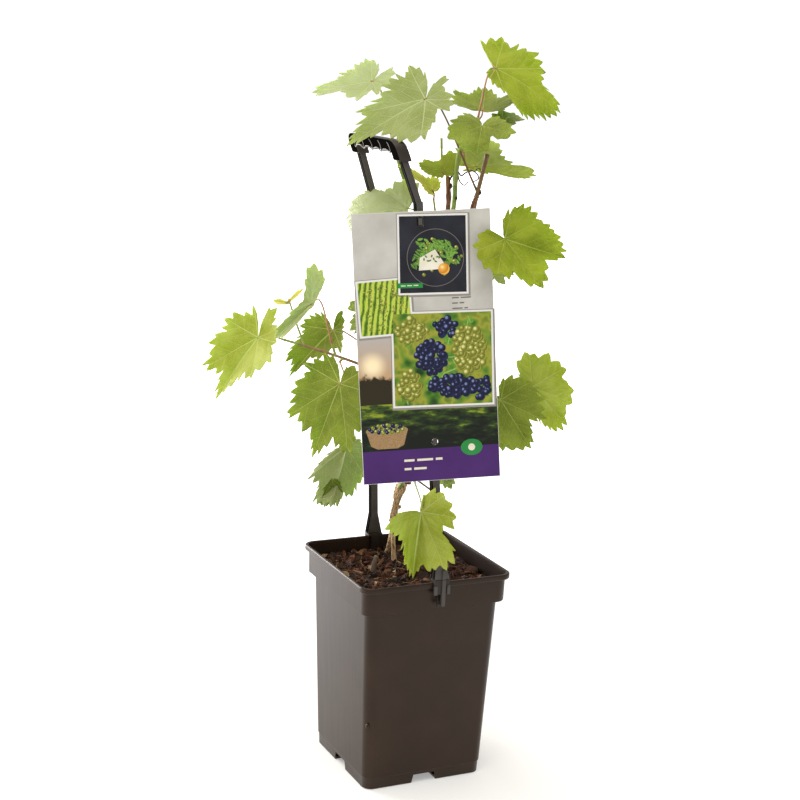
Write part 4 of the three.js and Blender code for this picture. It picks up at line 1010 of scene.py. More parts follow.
class VINE_OT_pot(bpy.types.Operator):
    """Model the square nursery pot"""

    bl_idname = "vine.pot"
    bl_label = "Pot"

    def execute(self, context):
        settings = context.scene.vine_pot
        wall = settings.wall / MM
        rim, height, lip = POT["rim"], POT["height"], POT["lip"]
        foot = height - POT["collar_height"]
        plastic = moulded_plastic("moulded_polypropylene_pot", "#1d120c", "#281a12", 0.36, 0.08, 0.42)
        edge = settings.edge / MM
        levels = (
            (POT["foot"] - 1.2, 0), (POT["foot"] - 0.75, 0.2), (POT["foot"] - 0.6, 0.7),
            (body_half(10.6) - 0.65, 10.6), (body_half(11) - 0.5, 11), (body_half(11.6), 11.5),
            (body_half(12), 12),
            (POT["shoulder"] - 0.05, foot - 1.6), (POT["shoulder"] + 0.1, foot - 1.1),
            (POT["shoulder"] + 0.5, foot - 0.8),
            (POT["collar"] - 0.6, foot - 0.6), (POT["collar"] - 0.15, foot - 0.3),
            (POT["collar"], foot + 0.3),
            (POT["collar"] + 0.4, height - lip - 0.9), (rim - 1.6, height - lip - 0.5),
            (rim - 0.5, height - lip - 0.1),
            (rim - 0.1, height - lip + 0.4), (rim, height - lip + 1), (rim, height - edge - 0.3),
            (rim - 0.2, height - 0.3), (rim - edge, height), (rim - 2, height), (rim - 2.45, height - 0.25),
            (rim - 2.6, height - 0.8), (rim - 2.9, height - 4), (POT["collar"] - wall - 0.4, foot + 1),
            (POT["shoulder"] - wall, foot - 2), (body_half(2.6) - wall, 2.6))
        deselect()
        bpy.ops.mesh.primitive_plane_add(size=2 * levels[0][0] * MM)
        pot = named("nursery_pot", plastic)
        bpy.ops.object.mode_set(mode="EDIT")
        bpy.ops.mesh.select_all(action="SELECT")
        bpy.ops.mesh.bevel(offset=8.8 * MM, segments=9, affect="VERTICES")
        for (before, low), (half, high) in zip(levels, levels[1:]):
            bpy.ops.mesh.extrude_region_move(TRANSFORM_OT_translate={"value": (0, 0, (high - low) * MM)})
            grow = half / before
            bpy.ops.transform.resize(value=(grow, grow, 1), center_override=(0, 0, high * MM))
        bpy.ops.mesh.select_all(action="SELECT")
        bpy.ops.mesh.normals_make_consistent(inside=False)
        bpy.ops.object.mode_set(mode="OBJECT")
        cutters = []
        for side in range(4):
            turn = side * math.pi / 2
            way = Vector((math.cos(turn), math.sin(turn), 0))
            bpy.ops.mesh.primitive_cube_add(size=1, location=way * 52 * MM + Vector((0, 0, 2 * MM)))
            cutter = bpy.context.object
            cutter.rotation_euler.z = turn
            cutter.scale = (28 * MM, 27 * MM, 12 * MM)
            freeze(cutter)
            for vertex in cutter.data.vertices:
                if vertex.co.z > 0:
                    across = Vector((-way.y, way.x, 0))
                    vertex.co -= across * across.dot(vertex.co) * 0.2
            cutters.append(cutter)
        cut(pot, cutters)
        # a small nib stands on the front corner
        corner = (body_half(64) - 2.4) * MM
        bpy.ops.mesh.primitive_uv_sphere_add(segments=16, ring_count=10, radius=1.9 * MM,
            location=(-corner, -corner, 64 * MM))
        nib = named("gate_nib", plastic)
        nib.scale = (1, 1, 1.3)
        freeze(nib)
        pot = join_pieces([pot, nib])
        smooth_by_angle(pot, 40)
        settle(pot, "pot", "pot")
        return {"FINISHED"}


class VINE_OT_compost(bpy.types.Operator):
    """Fill the pot with bark compost"""

    bl_idname = "vine.compost"
    bl_label = "Compost"

    def execute(self, context):
        settings = context.scene.vine_compost
        tones = (
            ("#170d08", "#2c1b12"), ("#23140c", "#402617"), ("#371e10", "#5a3420"), ("#4e2a19", "#774429"),
            ("#63412a", "#8c6545"), ("#8f7250", "#b89b72"))
        skins = [plain_grained(f"bark_chip_{i}", a, b, 0.85, 700, (1, 1, 1), 0.8, 0.0006) for i,
            (a, b) in enumerate(tones)]
        chance = random.Random(41)
        half = POT["collar"] - 2.2
        parts = []
        for _ in range(settings.chips):
            size = settings.chip * chance.choice((0.3, 0.4, 0.5, 0.6, 0.8, 1.0, 1.3, 1.9))
            place = self.within(Vector((chance.uniform(-1, 1), chance.uniform(-1, 1), 0)) * half * MM,
                half * MM - size * 0.4)
            bank = 2.5 * noise.noise(Vector((place.x * 40, place.y * 40, 3.3)))
            place.z = (SOIL - 1 + bank + chance.uniform(-1.5, 3.2)) * MM
            parts.append(self.chip(chance, place, size))
        for _ in range(480):
            parts.append(self.fibre(chance, half))
        litter = make_piece("bark_litter", parts, skins)
        deselect()
        bpy.ops.mesh.primitive_grid_add(x_subdivisions=44, y_subdivisions=44, size=2 * half * MM,
            location=(0, 0, SOIL * MM))
        bed = named("compost_bed", skins[0])
        freeze(bed)
        for vertex in bed.data.vertices:
            spot = vertex.co = self.within(vertex.co, half * MM)
            vertex.co.z = (SOIL - 2.2) * MM + 0.003 * noise.noise(Vector((spot.x * 40, spot.y * 40, 3.3))) \
                + 0.0016 * noise.noise(Vector((spot.x * 260, spot.y * 260, 1.3)))
        bpy.ops.object.mode_set(mode="EDIT")
        bpy.ops.mesh.select_all(action="SELECT")
        bpy.ops.mesh.extrude_region_move(TRANSFORM_OT_translate={"value": (0, 0, -6 * MM)})
        bpy.ops.mesh.select_all(action="SELECT")
        bpy.ops.mesh.normals_make_consistent(inside=False)
        bpy.ops.object.mode_set(mode="OBJECT")
        smooth_by_angle(bed, 50)
        litter.data.polygons.foreach_set("use_smooth", [False] * len(litter.data.polygons))
        for piece in (bed, litter):
            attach(piece, "root")
        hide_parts("compost")
        return {"FINISHED"}

    def within(self, spot, half, corner=0.01):
        """The nearest place inside a square with rounded corners."""
        core = half - corner
        inner = Vector((max(-core, min(core, spot.x)), max(-core, min(core, spot.y)), spot.z))
        step = spot - inner
        return inner + step * min(1, corner / max(step.length, 1e-9))

    def chip(self, chance, place, size):
        """Split flake of bark with six uneven sides."""
        thick = size * chance.uniform(0.08, 0.28)
        wide = chance.choice((0.09, 0.12, 0.17, 0.24, 0.36, 0.7))
        points = []
        for level in (-0.5, 0.5):
            shrink = chance.uniform(0.75, 1.0)
            for k in range(6):
                angle = math.pi * k / 3 + chance.uniform(-0.3, 0.3)
                reach = size / 2 * shrink * chance.uniform(0.8, 1.15)
                points.append(Vector((math.cos(angle) * reach, math.sin(angle) * reach * wide,
                                      level * thick * chance.uniform(0.6, 1.3))))
        turn = Matrix.Rotation(chance.uniform(0, 2 * math.pi), 3, "Z") @ Matrix.Rotation(
            chance.gauss(0, 0.7), 3, "X") @ Matrix.Rotation(chance.gauss(0, 0.6), 3, "Y")
        points = [turn @ p + place for p in points]
        faces = [(5, 4, 3, 2, 1, 0), (6, 7, 8, 9, 10, 11)]
        faces += [(k, (k + 1) % 6, (k + 1) % 6 + 6, k + 6) for k in range(6)]
        slot = chance.choices(range(6), (22, 29, 23, 14, 8, 4))[0]
        return {"points": np.array([p[:] for p in points]), "faces": faces, "slots": slot}

    def fibre(self, chance, half):
        """Loose strand of coir."""
        start = Vector((chance.uniform(-half, half) * 0.9, chance.uniform(-half, half) * 0.9,
            SOIL + chance.uniform(0, 3)))
        heading = chance.uniform(0, 2 * math.pi)
        stops = [start]
        for _ in range(3):
            heading += chance.uniform(-0.9, 0.9)
            step = chance.uniform(2.5, 6)
            stops.append(stops[-1] + Vector((math.cos(heading) * step, math.sin(heading) * step,
                chance.uniform(-1.6, 1.6))))
            stops[-1].x = max(-half, min(half, stops[-1].x))
            stops[-1].y = max(-half, min(half, stops[-1].y))
        line = smooth_line([p[:] for p in stops], 9)
        return tube(line, np.full(9, chance.uniform(0.15, 0.32) * MM), 4,
            slot=chance.choice((1, 2, 3, 3, 4, 5)))


# ------------------------------------------------------------------ handle
LEG_OVERLAP = 1.2 * MM
ABOVE_FEET = 300 * MM  # a height between the feet and the bends of the legs
FINGER_PITCH = 18.75  # from one finger scallop of the grip to the next
FIRST_RIB = -2 * FINGER_PITCH


class VINE_OT_handle(bpy.types.Operator):
    """Round the edges of the carrying handle, give it its plastic, and paint shade on its sides and light on
    its legs and bars
    """

    bl_idname = "vine.handle"
    bl_label = "Carrying handle"

    def execute(self, context):
        plastic = moulded_plastic("moulded_polypropylene_handle", "#2b2724", "#383330", 0.42, 0.1, 0.4)
        # painted light: a paler copy of the handle plastic for the legs' faces, the foot bars and the clip
        # ears
        painted_lit_plastic = moulded_plastic("painted_light_plastic_of_legs_and_bars", "#4b4845", "#5a5754", 0.45, 0.1, 0.25)
        # painted shade: a near-black copy of the plastic without gloss, for the faces that look along x
        shade = moulded_plastic("painted_shade_on_handle_sides", "#0b0a09", "#100e0d", 0.6, 0.1, 0.0)
        rounding = {"handle_grip": (1.4, 4), "handle_clip_front": (0.4, 2), "handle_clip_back": (0.4, 2)}
        for node in ("handle_grip", "handle_leg_front_lower", "handle_leg_front_upper", "handle_clip_front",
                     "handle_leg_back_lower", "handle_leg_back_upper", "handle_clip_back"):
            piece = copy_node("moulded_" + node, node)
            piece.data.materials.clear()
            piece.data.materials.append(plastic)
            if "clip" in node:
                self.slot_tongue(piece, -1 if "front" in node else 1)
            elif "leg" in node:
                self.meet(piece)
            width, segments = rounding.get(node, (0.45, 2))
            finish(piece, "BEVEL", width=width * MM, segments=segments, limit_method="ANGLE",
                   angle_limit=math.radians(40), harden_normals=False)
            smooth_by_angle(piece, 40)
            # painted shade on the faces that look along x; the legs' other faces keep the painted light
            if "clip" not in node:
                piece.data.materials[0] = painted_lit_plastic if "leg" in node else plastic
                piece.data.materials.append(shade)
                for face in piece.data.polygons:
                    face.material_index = int(abs(face.normal.x) > 0.7)
            settle(piece, "handle", node)
        self.trim(painted_lit_plastic)
        return {"FINISHED"}

    def meet(self, leg):
        """Runs a leg's ends into its neighbours, so that no light shows through the joints. A foot stays."""
        levels = [v.co.z for v in leg.data.vertices]
        for end, step in ((min(levels), -LEG_OVERLAP), (max(levels), LEG_OVERLAP)):
            for vertex in leg.data.vertices:
                if abs(vertex.co.z - end) < 0.1 * MM and end > ABOVE_FEET:
                    vertex.co.z += step

    def slot_tongue(self, clip, side):
        """Cuts the narrow slot in the tongue outside the rim."""
        cut(clip, [block((-2.4, side * 76.5, 185), (3, 8, 9))])

    def trim(self, plastic):
        """Ribs and finger lips on the grip, ridges on the feet and on the clips' ears."""
        parts = []
        # painted highlight: the ribs and the finger lips are pale grey, for the light that they catch
        wear_and_painted_highlight = plain_grained("painted_highlight_on_ribs", "#6f6b64", "#9b968d", 0.45, 300, (1, 1, 1), 0.2, 0.0002)

        def bead(places, radius):
            line = smooth_line(places, max(8, 4 * len(places)))
            parts.append(tube(line, np.full(len(line), radius * MM), 8))

        top_x, top_z, lean = -41, 573.3, -0.4
        for side in (-1, 1):
            def on_side(y, high, out=0.0):
                return (top_x + lean * high + side * (6 + out), y, top_z + high)

            for k in range(5):
                y = FIRST_RIB + FINGER_PITCH * k
                bead([on_side(y, 6.3, 0.4), on_side(y - 1.6, 9.5, 0.5), on_side(y - 1.2, 13, 0.4),
                    on_side(y + 1.2, 15.4, 0.2)], 0.35)
            lip = []
            for k in range(4):
                for t in (0, 0.25, 0.5, 0.75):
                    lip.append(on_side(FIRST_RIB + FINGER_PITCH * (k + t), 5.9 + 4 * 2.9 * t * (1 - t), 0.35))
            lip.append(on_side(-FIRST_RIB, 5.9, 0.35))
            bead(lip, 0.45)
        trim = make_piece("handle_trim", parts, [wear_and_painted_highlight])
        bars = []
        # painted light: the bars and the ears are made in the paler copy of the plastic that comes in as
        # plastic
        for side in (-1, 1):
            # a square bar runs down the foot and over the clip to the tongue's end
            for low, high, wide, out in ((178, 203, 3.6, 79.2), (203, 212, 3.4, 78.6)):
                block((1.4, side * (out - 1.6), (low + high) / 2), (wide, 3.2, high - low))
                bars.append(named("foot_bar", plastic))
            for across in (-6.4, 6.4):
                block((across, side * 77.7, 193.4), (3.2, 2.2, 8.4))
                bars.append(named("clip_ear", plastic))
        for bar in bars:
            finish(bar, "BEVEL", width=0.35 * MM, segments=2, limit_method="ANGLE",
                angle_limit=math.radians(40))
        trim = join_pieces([trim, *bars])
        smooth_by_angle(trim, 40)
        settle(trim, "handle")


# ------------------------------------------------------------------ picture card
CARD = {"bearing": 252, "tilt": 6, "roll": 4.3, "width": 121, "height": 235, "thickness": 0.8}
LAYER = 0.05  # step in height between printed layers
PRINT_GLOSS = 0.38


def card_frame():
    """Matrix from the card's own across, up and out, in metres, to its place on the handle."""
    b, t, r = (math.radians(CARD[key]) for key in ("bearing", "tilt", "roll"))
    look = Vector((math.cos(b) * math.cos(t), math.sin(b) * math.cos(t), math.sin(t)))
    level = Vector((-math.sin(b), math.cos(b), 0))
    up = look.cross(level)
    right = level * math.cos(r) + up * math.sin(r)
    up = up * math.cos(r) - level * math.sin(r)
    turn = Matrix((right, up, look)).transposed()
    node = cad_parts["picture_card"]
    reach = [turn.transposed() @ (node.matrix_world @ v.co) for v in node.data.vertices]
    middle = Vector([(max(p[k] for p in reach) + min(p[k] for p in reach)) / 2 for k in range(3)])
    middle.z = max(p.z for p in reach)  # the front face
    return Matrix.Translation(turn @ middle) @ turn.to_4x4()


def outline_leaf():
    """Five-lobed outline of a small printed leaf, its tip one unit from its base."""
    angles = np.radians(np.arange(-165, 166, 11))
    reach = smooth_table(np.abs(np.degrees(angles)), LOBES) * np.where(np.arange(len(angles)) % 2, 1.06, 0.92)
    return [(float(math.sin(a) * r), float(math.cos(a) * r)) for a, r in zip(angles, reach)]


def outline_round(sides=18):
    return [(math.cos(2 * math.pi * k / sides), math.sin(2 * math.pi * k / sides)) for k in range(sides)]


OVAL_LEAF = ((0, -1), (0.3, -0.75), (0.46, -0.25), (0.42, 0.25), (0.22, 0.7), (0, 1), (-0.22, 0.7),
    (-0.42, 0.25),
             (-0.46, -0.25), (-0.3, -0.75))
BOX = ((-1, -1), (1, -1), (1, 1), (-1, 1))


class Print:
    """Gathers flat printed shapes, each with its layer, ink and own coordinates."""

    def __init__(self):
        self.points, self.faces, self.slots, self.spots, self.tones = [], [], [], [], []

    def shape(self, outline, place, size, layer, slot, turn=0.0, tone=0.5, spot=None):
        start, c, s_ = len(self.points), math.cos(math.radians(turn)), math.sin(math.radians(turn))
        wide, high = size if isinstance(size, tuple) else (size, size)
        for x, y in outline:
            across, up = x * wide * c - y * high * s_ + place[0], x * wide * s_ + y * high * c + place[1]
            self.points.append((across * MM, up * MM, layer * LAYER * MM))
            self.spots.append((x, y) if spot is None else (x * wide / spot, y * high / spot))
            self.tones.append(tone)
        self.faces.append(tuple(range(start, len(self.points))))
        self.slots.append(slot)

    def picture(self, place, size, layer, slot, turn, inks):
        """Framed picture: a soft shadow, a white border and the picture itself."""
        wide, high = size[0] / 2, size[1] / 2
        for spread, step in ((2.9, 0.35), (2.3, 0.5)):
            self.shape(BOX, (place[0] + 0.5, place[1] - 0.6), (wide + spread, high + spread), layer + step,
                inks["shadow"], turn)
        self.shape(BOX, place, (wide + 1.7, high + 1.7), layer + 1, inks["border"], turn)
        self.shape(BOX, place, (wide, high), layer + 1.6, slot, turn, spot=10)

    def build(self, name, materials):
        part = {"points": np.array(self.points), "faces": self.faces, "slots": self.slots,
                "uv": {"Print": np.array([self.spots[v] for face in self.faces for v in face])},
                "values": {"tone": np.array(self.tones)}}
        return make_piece(name, [part], materials)


def printed(name, colours, build):
    """Ink on a smooth plastic sheet: its colour comes from the shape's own coordinates."""
    material, tree = new_material(name)
    spot = add(tree, "UVMap", uv_map="Print")
    tone = add(tree, "Attribute", out="Fac", attribute_name="tone")
    colour = build(tree, spot, tone, colours)
    # fine print grain of the sheet, drawn about 0.5 mm wide
    place = add(tree, "TexCoord", out="Object")
    grain = add(tree, "TexNoise", {"Vector": place, "Scale": 2000.0, "Detail": 1.0})
    rough = add(tree, "MapRange", {"Value": grain, "To Min": PRINT_GLOSS - 0.04,
        "To Max": PRINT_GLOSS + 0.08})
    shader = add(tree, "BsdfPrincipled", {
        "Base Color": colour, "Roughness": rough, "IOR": 1.46, "Specular IOR Level": 0.3})
    add(tree, "OutputMaterial", {"Surface": shader})
    return material


def even_stops(colours, first, run):
    """Ramp stops that spread the colours evenly over a run."""
    return [(first + run * i / (len(colours) - 1), code) for i, code in enumerate(colours)]


def berry_ink(tree, spot, tone, colours):
    """Round fruit: bright bloom towards the upper left, a dark edge and a thin lit rim."""
    edge, body, bloom = colours
    away = add(tree, "VectorMath", (spot, (-0.3, 0.32, 0)), operation="DISTANCE")
    shift = add(tree, "Math", (tone, -0.35, away), operation="MULTIPLY_ADD")
    return add(tree, "ValToRGB", [shift], stops=((0.0, bloom), (0.2, body), (0.85, edge), (1.1, body)))


def leaf_ink(tree, spot, tone, colours):
    """Small green leaf with a pale midrib."""
    dark, light, rib = colours
    across = add(tree, "SeparateXYZ", [spot], "X")
    away = add(tree, "Math", [across], operation="ABSOLUTE")
    rib_mask = add(tree, "MapRange", (away, 0.02, 0.1, 0.7, 0.0))
    blotch = add(tree, "TexNoise", {"Vector": spot, "Scale": 2.2, "Detail": 2.0})
    both = add(tree, "Math", (blotch, tone), operation="MULTIPLY")
    flesh = add(tree, "ValToRGB", [both], stops=((0.08, dark), (0.45, light)))
    return add(tree, "Mix", {"Factor": rib_mask, "A": flesh, "B": rib}, data_type="RGBA")


def flat_ink(tree, spot, tone, colours):
    """Even ink with a faint cloudiness."""
    blotch = add(tree, "TexNoise", {"Vector": spot, "Scale": 0.35, "Detail": 3.0})
    return add(tree, "ValToRGB", [blotch], stops=((0.3, colours[0]), (0.7, colours[1])))


def foliage_ink(tree, spot, tone, colours):
    """Soft, out-of-focus greenery in patches."""
    patch = add(tree, "TexVoronoi", {"Vector": spot, "Scale": 1.1, "Smoothness": 0.8}, feature="SMOOTH_F1")
    blotch = add(tree, "TexNoise", {"Vector": spot, "Scale": 0.55, "Detail": 2.0, "Distortion": 0.3})
    both = add(tree, "Math", (patch, 0.4, blotch), operation="MULTIPLY_ADD")
    return add(tree, "ValToRGB", [both], stops=even_stops(colours, 0.45, 0.4))


def rows_ink(tree, spot, tone, colours):
    """Rows of a young crop that run up and away."""
    turned = add(tree, "Mapping", {"Vector": spot, "Rotation": (0, 0, 0.5), "Scale": (1, 0.35, 1)})
    wave = add(tree, "TexWave", {
        "Vector": turned, "Scale": 0.75, "Distortion": 3.5, "Detail": 4.0, "Detail Scale": 2.5}, "Fac")
    speck = add(tree, "TexNoise", {"Vector": spot, "Scale": 4.5, "Detail": 3.0})
    both = add(tree, "Math", (speck, 0.7, wave), operation="MULTIPLY_ADD")
    return add(tree, "ValToRGB", [both], stops=even_stops(colours, 0.25, 0.95))


def dusk_ink(tree, spot, tone, colours):
    """Warm evening sky round a low sun, over a dark rise."""
    grey, gold, glow, earth = colours
    up = add(tree, "SeparateXYZ", [spot], "Y")
    ruffle = add(tree, "TexNoise", {"Vector": spot, "Scale": 1.4, "Detail": 6.0})
    height = add(tree, "MapRange", (up, -1.2, 3.0))
    sky = add(tree, "ValToRGB", [height], stops=((0.0, gold), (0.9, grey)))
    away = add(tree, "VectorMath", (spot, (-0.3, 0.3, 0)), operation="DISTANCE")
    sun = add(tree, "MapRange", (away, 0.15, 1.5, 1.0, 0.0), interpolation_type="SMOOTHSTEP")
    lit = add(tree, "Mix", {"Factor": sun, "A": sky, "B": glow}, data_type="RGBA")
    rise = add(tree, "Math", (ruffle, 2.4, up), operation="MULTIPLY_ADD")
    ground = add(tree, "MapRange", (rise, 0.25, 0.6, 1.0, 0.0))
    return add(tree, "Mix", {"Factor": ground, "A": lit, "B": earth}, data_type="RGBA")


def meadow_ink(tree, spot, tone, colours):
    """Shady grass with streaks of low sun."""
    turned = add(tree, "Mapping", {"Vector": spot, "Scale": (0.5, 1.6, 1)})
    streak = add(tree, "TexNoise", {"Vector": turned, "Scale": 1.0, "Detail": 6.0, "Roughness": 0.62})
    up = add(tree, "SeparateXYZ", [spot], "Y")
    lifted = add(tree, "Math", (up, 0.075, streak), operation="MULTIPLY_ADD")
    return add(tree, "ValToRGB", [lifted], stops=even_stops(colours, 0.42, 0.3))


def weave_ink(tree, spot, tone, colours):
    """Plaited strips of pale willow."""
    return add(tree, "TexBrick", {
        "Vector": spot, "Scale": 4.5, "Color1": colours[0], "Color2": colours[1], "Mortar": colours[2],
        "Mortar Size": 0.05, "Brick Width": 0.6, "Row Height": 0.25})


class VINE_OT_card(bpy.types.Operator):
    """Make the printed picture card that hangs on the handle"""

    bl_idname = "vine.card"
    bl_label = "Picture card"

    def execute(self, context):
        inks = {
            "stone": printed("print_stone_grey", ("#b3aea4", "#cbc7bd"), flat_ink),
            "shadow": printed("print_soft_shadow", ("#8a847d", "#928c85"), flat_ink),
            "border": printed("print_white_border", ("#dfdcd5", "#e6e3dc"), flat_ink),
            "slate": printed("print_dark_slate", ("#14151b", "#2b2c34"), flat_ink),
            "rows": printed("print_crop_rows", ("#33521a", "#638523", "#93ab2c", "#bccb4e"), rows_ink),
            "greenery": printed("print_greenery", ("#1d3a14", "#3f6a1c", "#6b8b28", "#9c9a35", "#5f7d24"),
            foliage_ink),
            "dusk": printed("print_dusk_sky", ("#b5aca3", "#c09a6c", "#ffe9bd", "#2c2611"), dusk_ink),
            "meadow": printed("print_meadow", ("#0f140b", "#1d2912", "#3a4f18", "#8b9a28"), meadow_ink),
            "purple": printed("print_purple_band", ("#421f60", "#4a2669"), flat_ink),
            "blue": printed("print_blue_fruit", ("#090a1a", "#20244a", "#7480a8"), berry_ink),
            "yellow": printed("print_yellow_fruit", ("#5a6120", "#969638", "#d6d48a"), berry_ink),
            "leaf": printed("print_leaf", ("#1f4a1a", "#6a9c33", "#a9c46a"), leaf_ink),
            "cream": printed("print_cream", ("#d5cdb4", "#efe9d6"), flat_ink),
            "orange": printed("print_orange", ("#c9781c", "#eab04a", "#f5d58e"), berry_ink),
            "green": printed("print_plain_green", ("#25813a", "#2c8c42"), flat_ink),
            "text": printed("print_grey_bars", ("#66615c", "#6e6964"), flat_ink),
            "willow": printed("print_willow", ("#c9a878", "#b08c5e", "#6d5234"), weave_ink),
        }
        index = {name: i for i, name in enumerate(inks)}
        art = Print()
        self.background(art, index)
        self.slate_picture(art, index)
        self.crop_picture(art, index)
        self.fruit_picture(art, index)
        self.basket(art, index)
        self.bars(art, index)
        place = card_frame()
        printing = art.build("card_print", list(inks.values()))
        white = printed("printed_card_back", ("#d8d5ce", "#dedbd5"), flat_ink)
        sheet = copy_node("card_sheet", "picture_card")
        sheet.data.materials.clear()
        sheet.data.materials.append(white)
        corners = [place.inverted() @ v.co / MM for v in sheet.data.vertices]
        coords = [corners[loop.vertex_index][:2] for loop in sheet.data.loops]
        sheet.data.uv_layers.new(name="Print").data.foreach_set("uv", (np.array(coords) / 10).ravel())
        inner = [p for p in corners if abs(p.x) < 50 and abs(p.y) < 116]
        self.open_print(printing, [p for p in inner if p.y > 60], 4)
        self.open_print(printing, [p for p in inner if p.y < 60], 12)
        printing.data.transform(place)
        printing.data.update()
        settle(sheet, "card", "picture_card")
        settle(printing, "card")
        return {"FINISHED"}

    def open_print(self, printing, edge, sides):
        """Cuts the print round one opening of the card and takes out what lies over it."""
        low, high = (Vector([f(p[k] for p in edge) * MM for k in (0, 1)] + [0]) for f in (min, max))
        middle, half = (low + high) / 2, (high - low) / 2
        mesh = bmesh.new()
        mesh.from_mesh(printing.data)

        def over():
            return [f for f in mesh.faces
                    if min(v.co.x for v in f.verts) < high.x and max(v.co.x for v in f.verts) > low.x
                    and min(v.co.y for v in f.verts) < high.y and max(v.co.y for v in f.verts) > low.y]

        turns = [2 * math.pi * k / sides for k in range(sides)]
        for turn in turns:
            way = Vector((math.cos(turn), math.sin(turn), 0))
            near = over()
            geometry = near + [e for f in near for e in f.edges] + [v for f in near for v in f.verts]
            spot = middle + Vector((way.x * half.x, way.y * half.y, 0))
            bmesh.ops.bisect_plane(mesh, geom=list(dict.fromkeys(geometry)), plane_co=spot, plane_no=way,
                dist=1e-7)
        inside = []
        for face in over():
            step = face.calc_center_median() - middle
            if all(step.x * math.cos(t) + step.y * math.sin(t) < half.x * math.cos(t) ** 2
                + half.y * math.sin(t) ** 2 for t in turns):
                inside.append(face)
        bmesh.ops.delete(mesh, geom=inside, context="FACES")
        mesh.to_mesh(printing.data)
        mesh.free()

    def background(self, art, ink):
        """Stone grey above, a strip of dusk at the left, then the meadow and the purple band."""
        art.shape(BOX, (0, 66), (60.2, 51.2), 0.3, ink["stone"], spot=10)
        art.shape(BOX, (-45, -17), (15.2, 32), 0.4, ink["dusk"], spot=10)
        art.shape(BOX, (15, -17), (45.2, 32), 0.35, ink["stone"], spot=10)
        art.shape(BOX, (0, -68.5), (60.2, 20.5), 0.6, ink["meadow"], spot=10)
        art.shape(BOX, (0, -103), (60.2, 14.2), 0.8, ink["purple"], spot=10)

    def slate_picture(self, art, ink):
        """Cheese, green leaves and a slice of orange on dark slate."""
        chance = random.Random(5)
        middle = Vector((9, 80))
        art.picture(middle, (58, 66), 2, ink["slate"], -1.5, ink)
        for ring, size in ((25, 0.0), (24.4, 0.1)):
            art.shape(outline_round(40), middle + Vector((2, -3)), ring, 3.9 + size,
                ink["text" if not size else "slate"], spot=10)
        for _ in range(110):
            angle, reach = chance.uniform(-0.4, 3.7), chance.gauss(14, 3.4)
            spot = middle + Vector((2 + math.cos(angle) * reach, -4 + math.sin(angle) * reach * 0.9))
            art.shape(OVAL_LEAF, spot, chance.uniform(1.8, 3.6), chance.uniform(4.2, 6), ink["leaf"],
                chance.uniform(0, 360), chance.uniform(0.3, 1))
        for _ in range(26):
            angle, reach = chance.uniform(0, 6.3), chance.gauss(12, 4)
            spot = middle + Vector((2 + math.cos(angle) * reach, -3 + math.sin(angle) * reach * 0.9))
            art.shape(outline_round(10), spot, chance.uniform(1, 1.9), 6.2, ink["yellow"],
                tone=chance.random())
        wedge = ((-1, -0.7), (0.9, -0.95), (1.05, -0.4), (0.55, 0.85), (-0.75, 0.35))
        art.shape(wedge, middle + Vector((-3, -5)), (11, 10), 6.6, ink["cream"], 8, spot=6)
        art.shape(outline_round(20), middle + Vector((9, -13)), 5, 6.9, ink["orange"])
        for k in range(9):
            art.shape(OVAL_LEAF, middle + Vector((-8 + 1.7 * k, -4 + 2.5 * math.sin(k * 1.9))), 1.5, 7.2,
                ink["leaf"], 40 * k, 0.3)
        art.shape(BOX, middle + Vector((-21, -26)), (11, 2.1), 7.4, ink["green"], -1.5, spot=10)
        for k in range(3):
            art.shape(BOX, middle + Vector((-27 + 5.5 * k, -26)), (2.1, 0.4), 7.6, ink["cream"], -1.5)

    def crop_picture(self, art, ink):
        """Rows of a young green crop with pale blossom."""
        chance = random.Random(9)
        middle = Vector((-35, 36))
        art.picture(middle, (44, 46), 0.9, ink["rows"], 2, ink)
        for _ in range(150):
            row = chance.choice((-13, -2, 9, 17))
            spot = middle + Vector((row + chance.gauss(0, 2.2), chance.uniform(-20, 20)))
            art.shape(outline_round(7), spot, chance.uniform(0.5, 1.2), chance.uniform(2.6, 2.9),
                ink["yellow"], tone=chance.random())

    def fruit_picture(self, art, ink):
        """Blue and yellow plums in loose slanting heaps among leaves."""
        chance = random.Random(17)
        middle = Vector((14, -11))
        size = Vector((86, 80))
        art.picture(middle, size[:], 1.4, ink["greenery"], -1.2, ink)

        def inside(spot, margin):
            return abs(spot.x) < size.x / 2 - margin and abs(spot.y) < size.y / 2 - margin

        for _ in range(26):
            spot = Vector((chance.uniform(-40, 40), chance.uniform(-37, 37)))
            big = chance.uniform(5, 9)
            if inside(spot, big):
                art.shape(outline_leaf(), middle + spot, big, chance.uniform(3.1, 3.6), ink["leaf"],
                    chance.uniform(0, 360), chance.uniform(0.4, 1))
        heaps = (((-26, 25), (13, 10), "yellow"), ((3, 27), (10, 7), "blue"), ((-10, 2), (12, 14), "blue"),
                 ((24, 8), (13, 20), "yellow"), ((-30, -22), (9, 12), "yellow"), ((8, -24), (20, 9), "blue"),
                 ((33, -27), (7, 8), "blue"))
        layer = 3.7
        for (x, y), (wide, high), tint in heaps:
            count = int(wide * high * 0.34)
            for k in range(count):
                reach, angle = math.sqrt(chance.uniform(0,
                    1)) if k > count / 2 else math.sqrt((k + 0.5) * 2 / count), k * 2.4
                spot = Vector((x + math.cos(angle) * reach * wide, y + math.sin(angle) * reach * high))
                spot += Vector((chance.gauss(0, 1), chance.gauss(0, 1)))
                fruit = chance.uniform(2.7, 3.5)
                layer += 0.02
                if inside(spot, fruit + 0.3):
                    art.shape(outline_round(16), middle + spot, fruit, layer, ink[tint], tone=chance.random())

